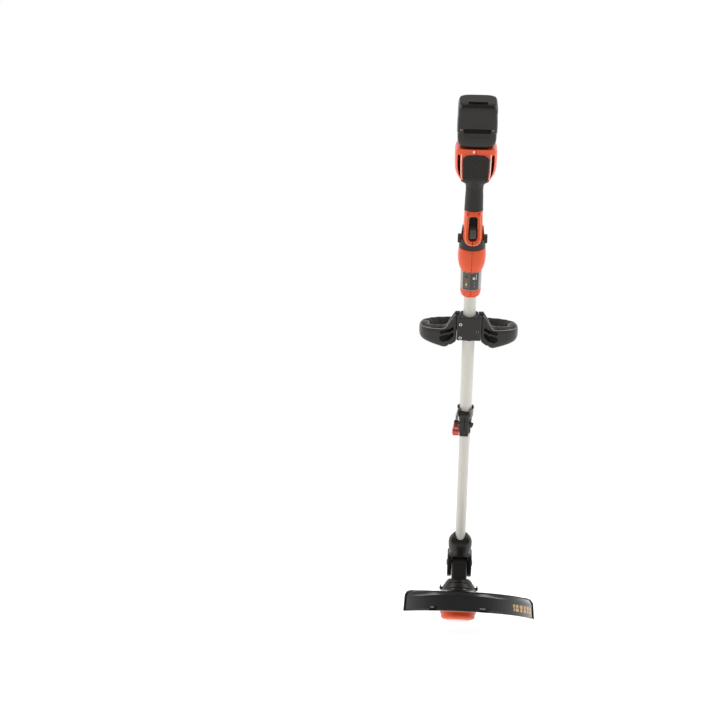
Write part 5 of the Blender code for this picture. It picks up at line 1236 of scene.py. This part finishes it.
CAM = 5.2
cam = [(-18.5 + CAM * math.cos(math.radians(a)), -136.0 + CAM * math.sin(math.radians(a))) for a in range(-20, 201, 10)]
lever_outline = cam + corners_rounded(
    [(-22.8, -140.6), (-25.0, -143.6), (-26.2, -147.0), (-26.2, -158.6), (-24.0, -163.2), (-14.6, -163.8), (-12.4, -161.6), (-12.2, -147.0), (-14.2, -142.6), (-14.4, -140.2)],
    [0, 3, 3, 4, 3, 3, 3, 4, 2, 0], 4, closed=False,
)
lever = prism("height_lever_paddle", lever_outline, -26.0, -12.0, "Y", edge=1.4, segments=4)
# Two rounded lobes, one above the other, with a groove between.
side_line = [(-11.0, -129.0), (-11.0, -165.0), (-20.0, -165.0), (-23.6, -163.0), (-25.6, -159.6), (-26.2, -156.0), (-25.6, -152.6), (-23.4, -150.8)]
side_line += [(-23.4, -149.6), (-25.4, -148.4), (-26.2, -145.0), (-25.6, -141.8), (-23.8, -139.6), (-24.2, -136.0), (-22.8, -131.0), (-19.0, -129.0)]
combine(lever, prism("side_shape", corners_rounded(side_line, [0, 0, 4, 3, 3, 4, 3, 0.6, 0.6, 2, 4, 3, 1.5, 4, 4, 2], 4), -30, -8, "X"), "INTERSECT")
cut(lever, rod("bore", 2.0, -40, 0, "Y", (-18.5, 0, -136), steps=24))
cut(lever, block("fork", (-22.6, -22.8, -138.9), (-6, -17.2, -119)))
# The paddle's top and a band in the groove are a darker red, as painted shade.
shoulder = lever.copy()
shoulder.data = lever.data.copy()
shoulder.name = "height_lever_shaded_top"
scene.collection.objects.link(shoulder)
cut(lever, block("upper_part", (-40, -40, -141.2), (0, 0, -120)))
cut(shoulder, block("lower_part", (-40, -40, -170), (0, 0, -141.4)))
piece(shoulder, SHAFT, RED_PAINTED_SHADE, body=BODY_OF["height_lever"])
band = prism("height_lever_groove_shade", inset([q for q in lever_outline], 0.9), -24.4, -12.6, "Y")
combine(band, block("band_room", (-40, -40, -151.4), (0, 0, -149.0)), "INTERSECT")
piece(band, SHAFT, RED_PAINTED_SHADE, body=BODY_OF["height_lever"])
piece(lever, SHAFT, RED, "height_lever")
piece(rod("lever_pin_bar", 1.7, -25.2, -11.4, "Y", (-18.5, 0, -136), edge=0.4, steps=28), SHAFT, BLACK, "lever_pin")

# ---- socket and yoke ----------------------------------------------------------------------------------------------
socket = turned(
    "tube_socket_boot",
    [
        (15.2, -415.3), (16.2, -415.5), (18.6, -418.4), (22.4, -422.8), (24.4, -426.8), (25.6, -432.5), (25.5, -440.0), (24.6, -450.0), (23.2, -456.4),
        (18.4, -456.4), (18.4, -447.0), (9.0, -447.0), (9.0, -441.0), (11.5, -441.0), (11.5, -428.0), (13.6, -412.0),
    ],
    112,
    radii=[0.4, 0.6, 4, 6, 5, 6, 8, 6, 1.2, 0, 0, 0, 0, 0, 2, 1],
    segments=5,
)
cut(socket, rod("mouth", 19.6, -40, 40, "X", (0, -26.5, -410.0), steps=96))
for side in (-1, 1):
    cut(socket, block("side_slot", (23.4 if side > 0 else -30, -3.0, -449), (30 if side > 0 else -23.4, 3.0, -430), side=1.6, axis="X"))
piece(socket, SHAFT, BLACK, "tube_socket")

yoke = turned(
    "yoke_fork",
    [(18.0, -447.4), (18.0, -456.8), (23.2, -456.8), (23.6, -459.0), (25.0, -463.5), (25.2, -466.6), (6.0, -466.6), (6.0, -447.4)],
    112,
    radii=[0.3, 0, 0.5, 2, 2, 0, 0, 0.3],
)
cheek_line = [(-17.5, -463.0), (-16.5, -487.0)]
cheek_line += [(16.6 * math.cos(math.radians(a)), -489.0 + 32.6 * math.sin(math.radians(a))) for a in range(192, 349, 6)]
cheek_line += [(16.5, -487.0), (17.5, -463.0)]
for side in (-1, 1):
    cheek = prism("cheek", cheek_line, *((17.2, 26.6) if side > 0 else (-26.6, -17.2)), "X", edge=2.4, segments=5)
    join(yoke, cheek)
cut(yoke, rod("neck_room", 20.6, -17.2, 17.2, "X", (0, 0, -487), steps=96))
cut(yoke, rod("pivot_bore", 4.3, -40, 40, "X", (0, 0, -487), steps=40))
cut(yoke, prism("front_arch", corners_rounded([(-17.1, -470.0), (-17.1, -461.5), (-8.0, -458.4), (8.0, -458.4), (17.1, -461.5), (17.1, -470.0)], [0, 4, 8, 8, 4, 0], 6), -40, -13.0, "Y"))
for side in (-1, 1):
    # Two flutes are cut into each cheek above the pin.
    for k in (-1, 1):
        cut(yoke, block("flute", (25.9 if side > 0 else -30, k * 6.0 - 1.6, -478), (30 if side > 0 else -25.9, k * 6.0 + 1.6, -467), side=1.4, axis="X"))
piece(yoke, SHAFT, BLACK, "yoke", smooth=34)
pin = turned(
    "head_pivot_pin_caps",
    [(0, 28.2), (5.4, 28.2), (6.4, 27.6), (6.6, 26.7), (4.0, 26.7), (4.0, -26.7), (6.6, -26.7), (6.4, -27.6), (5.4, -28.2), (0, -28.2)],
    56,
    radii=[0, 0.5, 0.3, 0.1, 0, 0, 0.1, 0.3, 0.5, 0],
)
for way in (-1, 1):
    cut(pin, block("drive", (-3.6, -0.7, 27.2 if way > 0 else -30), (3.6, 0.7, 30 if way > 0 else -27.2)))
piece(shift(pin, at_mm(0, 0, -487) @ turn_to("X")), SHAFT, GREY, "head_pivot_pin")

# ---- cutting head -------------------------------------------------------------------------------------------------
housing = turned(
    "motor_housing_bell",
    [
        (17.0, -35.4), (21.0, -35.9), (25.0, -38.4), (28.4, -42.4), (30.6, -46.2), (30.2, -47.4), (32.6, -48.4), (35.6, -54.0), (37.3, -58.2), (37.3, -60.3), (36.0, -60.5),
        (36.0, -92.0), (33.4, -92.0), (33.4, -62.0), (23.5, -46.0), (12.0, -44.5), (12.0, -35.4),
    ],
    128,
    radii=[1, 3, 4, 4, 0.8, 0.3, 1.2, 5, 1.2, 0.4, 0, 0.6, 0.3, 3, 3, 0, 0],
    segments=5,
)
neck = rod("neck_drum", 20.2, -16.8, 16.8, "X", (0, 0, 0), edge=1.8, steps=112)
barrel = loft("neck_barrel", [oval(16.9, -20.6, 20.6, 8.0, 96, z) for z in (-60, 60)])
combine(neck, barrel, "INTERSECT")
stem = loft("neck_stem", [oval(a, -b, b, 7.0, 96, z) for z, a, b in ((-42, 16.9, 19.9), (-36.5, 16.9, 19.9), (-33, 16.9, 19.9), (-2, 16.9, 19.9))])
join(housing, neck, stem)
# A dark channel runs round the foot of the neck.
ring = [[(*w[:2], -37.6), (*w[:2], -33.6), (*n[:2], -33.6), (*n[:2], -37.6)] for w, n in zip(oval(19.4, -22.4, 22.4, 7.0, 96, 0), oval(17.0, -20.0, 20.0, 7.0, 96, 0))]
cut(housing, ring_solid("foot_channel", ring))
cut(housing, rod("lead_way", 5.0, -48, -12.0, "Z", steps=32), rod("head_bore", 4.3, -40, 40, "X", steps=40))
for side in (-1, 1):
    tab = block("tab", (38.3 if side > 0 else -41.2, -4.2, -60.9), (41.2 if side > 0 else -38.3, 4.2, -50.2), edge=0.8, segments=4, axis="X", side=2.6)
    web = block("web", (34.0 if side > 0 else -39.0, -2.4, -60.6), (39.0 if side > 0 else -34.0, 2.4, -54.4), side=0.8, axis="X")
    join(housing, tab, web)
cut(housing, rod("guide_bore", 1.9, -60, 60, "X", (0, 0, -56), steps=24))
# A raised ridge curves over the shoulder, and cooling slots stand round the back.
for k in range(7):
    a = math.radians(96 + 28 * k)
    slot = block("vent", (-1.3, -40, -57.6), (1.3, -26.5, -50.0), side=1.2, axis="Y")
    cut(housing, shift(slot, Matrix.Rotation(a, 4, "Z")))
piece(housing, HEAD, BLACK, "motor_housing", smooth=34)
base = turned("motor_base_plate", [(36.0, -92.4), (36.0, -96.6), (5.2, -96.6), (5.2, -90.0), (9.0, -90.0), (9.0, -92.4)], 112, radii=[0.2, 1.0, 0.4, 0.3, 0.3, 0])
for number, angle in enumerate((50, 230), 1):
    x, y = 26.0 * math.cos(math.radians(angle)), 26.0 * math.sin(math.radians(angle))
    cut(base, rod("hole", 2.0, -100, -80, "Z", (x, y, 0), steps=24))
    screw(f"base_screw_{number}", (x, y, -96.9), "Z", 9.0, f"head_screw_{number}", HEAD, 3.2, 1.5, flip=True)
piece(base, HEAD, BLACK, "motor_base")

PROFILE_OUT = [(37.4, -60.4), (39.6, -63.2), (45.0, -66.6), (58.0, -69.4), (82.0, -71.8), (110.0, -73.6), (150.0, -77.4), (158.5, -81.0), (162.8, -88.0), (165.0, -117.0), (166.4, -118.2), (166.4, -120.4)]
PROFILE_IN = [(37.4, -71.4), (42.0, -71.6), (60.0, -73.2), (110.0, -76.4), (149.0, -80.2), (156.2, -83.4), (160.0, -89.0), (162.2, -118.6), (162.2, -120.4)]
out_line = corners_rounded(PROFILE_OUT, [0, 2.5, 6, 14, 30, 30, 9, 6, 7, 0.8, 0.3, 0.4], 5, closed=False)
in_line = corners_rounded(PROFILE_IN, [0, 2, 8, 50, 8, 5, 6, 0.5, 0.4], 6, closed=False)
ARC = (-44.2, 76.0)
rings = []
STEPS = 96
for i in range(STEPS + 1):
    a = math.radians(ARC[0] + (ARC[1] - ARC[0]) * i / STEPS)
    rings.append([(r * math.sin(a), -r * math.cos(a), z) for r, z in out_line + in_line[::-1]])
guard = loft("guard_shield", rings)
join(guard, turned("guard_ring", [(38.4, -61.0), (42.6, -68.8), (42.6, -84.0), (36.4, -84.0), (36.4, -61.0)], 112, radii=[0.8, 2, 1, 0.3, 0.3]))
for number, angle in enumerate(ARC, 1):
    rib_line = [(r, z + 2.2) for r, z in [(42.0, -68.6), (60.0, -70.4), (110.0, -73.6), (150.0, -77.4), (159.4, -80.6)]]
    rib_line += [(165.2, -86.6), (167.8, -120.3), (161.0, -120.3), (158.4, -89.0), (154.0, -84.4)]
    rib_line += [(r, z - 1.8) for r, z in [(150.0, -77.4), (110.0, -73.6), (60.0, -70.4), (42.0, -68.6)]]
    rib_line = corners_rounded(rib_line, [0, 6, 20, 6, 5, 4, 0.8, 0.8, 3, 3, 4, 10, 6, 0], 5)
    rib = prism("guard_rib", rib_line, -1.6, 1.6, "Y", edge=0.7)
    inward = 1.7 if number == 1 else -1.7
    turn = Matrix.Rotation(math.radians(angle - 90), 4, "Z")
    move = Matrix.Translation(Vector((math.cos(math.radians(angle)), math.sin(math.radians(angle)), 0)) * inward * MM)
    join(guard, shift(rib, move @ turn))
# A raised ridge follows the skirt, and one the crown's edge.
for r, z, w in ((163.6, -92.5, 0.9), (157.2, -79.4, 0.9)):
    line = [[(rr * math.sin(a), -rr * math.cos(a), zz) for rr, zz in ((r - 1.5, z - w), (r + 0.75, z - w * 0.5), (r + 0.75, z + w * 0.5), (r - 1.5, z + w))]
            for a in (math.radians(-43.0 + 117.8 * i / 80) for i in range(81))]
    join(guard, loft("ridge", line))
for angle, half, top in ((-19.1, 8.4, -109.4), (17.8, 10.6, -109.8)):
    window = block("guard_window", (-half, -172, top - 40), (half, -163.4, top), side=1.6, axis="Y")
    cut(guard, shift(window, Matrix.Rotation(math.radians(angle), 4, "Z")))
    # A small catch stands at one end of each notch.
    catch = block("catch", (-half + 1.6, -165.2, top - 5.6), (half - 6.0, -162.8, top - 2.2), edge=0.5, segments=3, axis="Y", side=1.2)
    join(guard, shift(catch, Matrix.Rotation(math.radians(angle), 4, "Z")))
cut(guard, block("guard_screw_hole", (-2.0, 30, -79.0), (2.0, 50, -75.0)))
# Radial stiffening ribs under the crown.
for k in range(5):
    a = math.radians(-32 + 24 * k)
    rib = prism("under_rib", [(43.0, -72.0), (60.0, -72.0), (110.0, -75.2), (150.0, -79.2), (150.0, -82.4), (60.0, -77.0), (43.0, -77.0)], -0.9, 0.9, "Y")
    join(guard, shift(rib, Matrix.Rotation(a - math.pi / 2, 4, "Z")))
cut(guard, shift(rod("cutter_hole", 2.0, -170, -150, "Y", (0, 0, -107), steps=24), Matrix.Rotation(math.radians(68.0), 4, "Z")))
piece(guard, HEAD, GUARD, "guard", smooth=34)
# A matt black liner in each notch is painted shade.
for number, (angle, half, top) in enumerate(((-19.1, 8.4, -109.4), (17.8, 10.6, -109.8)), 1):
    wide = math.degrees((half - 0.5) / 163.6)
    curved_panel(f"guard_notch_shade_{number}", 163.42, 0.12, angle - wide, angle + wide, -120.2, top - 0.5, 0.4, MATT_AND_SHADE, "cutting_head", HEAD, steps=12)
for number, (angle, half, top) in enumerate(((-19.1, 8.4, -109.4), (17.8, 10.6, -109.8)), 1):
    tooth = block(f"guard_catch_{number}", (-half + 2.0, -165.5, top - 5.4), (half - 6.4, -163.2, top - 1.4), edge=0.4, segments=3, axis="Y", side=1.0)
    piece(shift(tooth, Matrix.Rotation(math.radians(angle), 4, "Z")), HEAD, SMOKE, body="cutting_head")
screw("guard_screw_pan", (0, 42.9, -77.0), "Y", 6.2, "guard_screw", HEAD, 3.0, 1.7)
around = Matrix.Rotation(math.radians(68.0), 4, "Z")
screw("cutter_screw_pan", (0, -158.7, -107), "Y", 3.6, "cutter_screw", HEAD @ around, 3.2, 1.7)
blade = block("line_cutter_blade", (-9.0, -160.2, -117.0), (9.0, -159.0, -101.0), edge=0.25, segments=2, axis="Y", side=1.2)
edge_blade = prism("knife", [(-160.2, -117.0), (-141.0, -117.0), (-141.0, -104.8), (-160.2, -104.0)], 7.6, 8.9, "X", edge=0.3)
join(blade, edge_blade)
cut(blade, rod("hole", 2.0, -170, -150, "Y", (0, 0, -107), steps=24))
piece(blade, HEAD @ around, BRIGHT, "line_cutter")

# Plain amber dashes near the guard's right end.
for number in range(6):
    a0, wide = (43.6, 2.2) if number == 0 else (41.2 + 5.0 * number, 3.7)
    for row, (z0, z1) in enumerate(((-111.4, -104.9), (-104.0, -97.2)), 1):
        cut_in = 0.5 * ((number + row) % 2)
        curved_panel(f"guard_dash_{number + 1}_{row}", 164.72 - 0.076 * (z0 + 113.6), 0.26, a0 + cut_in, a0 + wide - cut_in, z0, z1, 0.9, AMBER, "cutting_head", HEAD, steps=10, cone=-0.076)

GUIDE = [(36.4, 0, -56), (40.6, 0, -56), (42.0, 0.25, -56), (42.8, 1.1, -56), (43.0, 2.6, -56.05), (43.0, 12, -56.6), (43.0, 40, -58.0), (43.0, 80, -60.0), (43.0, 104, -61.2)]
bend = [(43.0 - 12 * (1 - math.cos(math.radians(a))), 106 + 12 * math.sin(math.radians(a)), -61.3 - 0.4 * a / 90) for a in range(0, 91, 9)]
half_guide = GUIDE + bend + [(15, 118, -61.7), (0, 118, -61.7)]
guide = tube_along("edge_guide_wire", half_guide + [(-x, y, z) for x, y, z in half_guide[-2::-1]], 1.5, 20)
piece(guide, HEAD, STEEL, "edge_guide", smooth=50, weighted=False)

# ---- spool --------------------------------------------------------------------------------------------------------
hub = turned(
    "spool_hub_drum",
    [(38.0, -99.4), (38.0, -111.6), (36.0, -111.6), (36.0, -101.4), (9.0, -101.4), (9.0, -106.0), (3.3, -106.0), (3.3, -99.4)],
    112, radii=[0.9, 0.5, 0.3, 0, 0, 0.3, 0.3, 0.3],
)
for sign in (-1, 1):
    cut(hub, rod("eyelet_hole", 3.0, *((30, 45) if sign > 0 else (-45, -30)), "X", (0, 0, -107), steps=28))
for k in range(24):
    a = TAU * k / 24
    if min(abs(math.cos(a)), 1) > 0.95:
        continue
    cut(hub, shift(rod("flute", 1.4, -113, -98, "Z", (39.0, 0, 0), steps=12), Matrix.Rotation(a, 4, "Z")))
piece(hub, HEAD, BLACK, "spool_hub")
for sign, node in ((1, "eyelet_right"), (-1, "eyelet_left")):
    ring = turned(node + "_ring", [(2.7, 35.6), (2.7, 38.2), (3.6, 38.4), (3.6, 39.4), (1.5, 39.4), (1.5, 35.6)], 40, radii=[0.1, 0, 0.3, 0.5, 0.6, 0.2])
    piece(shift(ring, at_mm(0, 0, -107) @ turn_to("X", sign < 0)), HEAD, BRIGHT, node)
cap = turned(
    "spool_cap_shell",
    [
        (0, -122.4), (33.0, -121.8), (34.9, -118.6), (34.9, -112.0), (37.0, -112.0), (37.0, -118.6), (35.6, -121.8), (31.6, -123.8),
        (25.0, -124.6), (22.6, -127.2), (19.8, -128.0), (14.0, -128.0), (12.6, -126.8), (6.0, -126.4), (0, -126.4),
    ],
    128, radii=[0, 1, 1, 0.3, 0.5, 2.4, 2, 1.4, 0.8, 1.0, 1.0, 0.6, 0.6, 1, 0],
)
for k in range(18):
    a = TAU * k / 18
    cut(cap, shift(rod("flute", 1.5, -130, -113.5, "Z", (38.2, 0, 0), steps=14), Matrix.Rotation(a, 4, "Z")))
for k in range(6):
    a = TAU * (k + 0.5) / 6
    cut(cap, shift(block("arrow_recess", (26.5, -3.0, -130), (31.5, 3.0, -124.0), side=1.2), Matrix.Rotation(a, 4, "Z")))
# The cap's bump face is pale as a painted highlight of light from below.
face = cap.copy()
face.data = cap.data.copy()
face.name = "spool_cap_bump_highlight"
scene.collection.objects.link(face)
cut(cap, rod("below", 60, -140, -125.0, "Z", steps=24))
cut(face, rod("above", 60, -125.2, -100, "Z", steps=24))
piece(face, HEAD, PALE_HIGHLIGHT, body=BODY_OF["spool_cap"])
skirt = turned("spool_cap_skirt", [(38.35, -105.4), (38.35, -112.3), (37.9, -112.3), (37.9, -105.4)], 112, radii=[0.15, 0.15, 0.1, 0.1])
for sign in (-1, 1):
    cut(skirt, rod("eyelet_room", 4.0, *((30, 45) if sign > 0 else (-45, -30)), "X", (0, 0, -107), steps=28))
piece(skirt, HEAD, ORANGE, body=BODY_OF["spool_cap"], weighted=False)
piece(cap, HEAD, ORANGE, "spool_cap")
piece(rod("drive_shaft_bar", 3.0, -121.0, -44.0, "Z", edge=0.5), HEAD, BRIGHT, "drive_shaft")
spool = turned("line_spool_bobbin", [(30.0, -106.6), (30.0, -108.0), (14.0, -108.0), (14.0, -117.4), (30.0, -117.4), (30.0, -119.0), (9.4, -119.0), (9.4, -106.6)], 96, radii=[0.5, 0.4, 0.4, 0.4, 0.4, 0.5, 0.3, 0.3])
piece(spool, HEAD, GREY, "line_spool")
profile = [(14.4, -108.6)]
for k in range(5):
    z = -109.4 - 1.62 * k
    for t in range(7):
        a = math.pi * t / 6
        profile.append((27.2 + 0.8 * math.sin(a) + (0.5 if 0 < k < 4 else 0), z + 0.8 * math.cos(a) - 0.2))
profile.append((14.4, -116.8))
piece(turned("wound_line_turns", profile, 96), HEAD, LINE, "wound_line")

# ---- CAD nodes that keep their shape ------------------------------------------------------------------------------
for node, mat in (
    ("switch_module", GREY), ("control_board", BOARD), ("dock_base", BLACK), ("terminal_block", BLACK), ("battery_cells", CELLS), ("motor", STEEL),
):
    repaint(node, mat)

# ---- floor, light and camera --------------------------------------------------------------------------------------
lowest = min(cad_box[0][2], cad_box[1][2])
mesh = bpy.data.meshes.new("floor")
mesh.from_pydata([(-9, -9, lowest - 0.0006), (9, -9, lowest - 0.0006), (9, 9, lowest - 0.0006), (-9, 9, lowest - 0.0006)], [], [(0, 1, 2, 3)])
floor = bpy.data.objects.new("floor", mesh)
scene.collection.objects.link(floor)
floor.data.materials.append(PALE_FLOOR)

world = bpy.data.worlds.new("studio")
scene.world = world
world.use_nodes = True
nodes, links = world.node_tree.nodes, world.node_tree.links
# Soft light all round, weaker from the front, and an even white ground behind the object.
sky = nodes["Background"]
sky.inputs["Color"].default_value = (1.0, 0.992, 0.98, 1)
where = nodes.new("ShaderNodeTexCoord")
split = nodes.new("ShaderNodeSeparateXYZ")
links.new(where.outputs["Generated"], split.inputs["Vector"])
fade = nodes.new("ShaderNodeMapRange")
fade.interpolation_type = "SMOOTHSTEP"
fade.inputs["From Min"].default_value = -1.0
fade.inputs["From Max"].default_value = 0.7
fade.inputs["To Min"].default_value = 0.28
fade.inputs["To Max"].default_value = 1.45
links.new(split.outputs["Y"], fade.inputs["Value"])
high = nodes.new("ShaderNodeMapRange")
high.interpolation_type = "SMOOTHSTEP"
high.inputs["From Min"].default_value = 0.1
high.inputs["From Max"].default_value = 0.8
high.inputs["To Min"].default_value = 1.0
high.inputs["To Max"].default_value = 0.32
links.new(split.outputs["Z"], high.inputs["Value"])
both = nodes.new("ShaderNodeMath")
both.operation = "MULTIPLY"
links.new(fade.outputs["Result"], both.inputs[0])
links.new(high.outputs["Result"], both.inputs[1])
links.new(both.outputs["Value"], sky.inputs["Strength"])
white = nodes.new("ShaderNodeBackground")
white.inputs["Color"].default_value = (1.0, 1.0, 1.0, 1)
white.inputs["Strength"].default_value = 1.0
path = nodes.new("ShaderNodeLightPath")
pick = nodes.new("ShaderNodeMixShader")
links.new(path.outputs["Is Camera Ray"], pick.inputs["Fac"])
links.new(sky.outputs["Background"], pick.inputs[1])
links.new(white.outputs["Background"], pick.inputs[2])
links.new(pick.outputs["Shader"], nodes["World Output"].inputs["Surface"])


def area_light(name, place, aim, size, power):
    light = bpy.data.lights.new(name, "AREA")
    light.shape = "RECTANGLE"
    light.size, light.size_y = size
    light.energy = power
    obj = bpy.data.objects.new(name, light)
    scene.collection.objects.link(obj)
    obj.location = place
    obj.rotation_euler = (Vector(aim) - Vector(place)).to_track_quat("-Z", "Y").to_euler()
    return obj


area_light("left_softbox", (-1.6, -0.2, 1.0), (0, 0.1, -0.4), (0.9, 1.8), 18)
area_light("right_softbox", (1.6, -0.1, 1.0), (0, 0.1, -0.4), (0.9, 1.8), 18)

camera = bpy.data.objects.new("camera", bpy.data.cameras.new("camera"))
scene.collection.objects.link(camera)
scene.camera = camera
ahead = Vector((-0.05648, 0.99834, 0.01136)).normalized()
up = Vector((-0.03303, -0.01324, 0.99937))
right = ahead.cross(up).normalized()
up = right.cross(ahead).normalized()
camera.matrix_world = Matrix.Translation((-0.05082, -2.86776, -0.35897)) @ Matrix((right, up, -ahead)).transposed().to_4x4()
camera.data.lens = 73.15
camera.data.sensor_width = 36.0
camera.data.clip_end = 100.0

scene.view_settings.view_transform = "Standard"
scene.view_settings.look = "None"
scene.view_settings.exposure = 0.0
scene.view_settings.gamma = 1.0
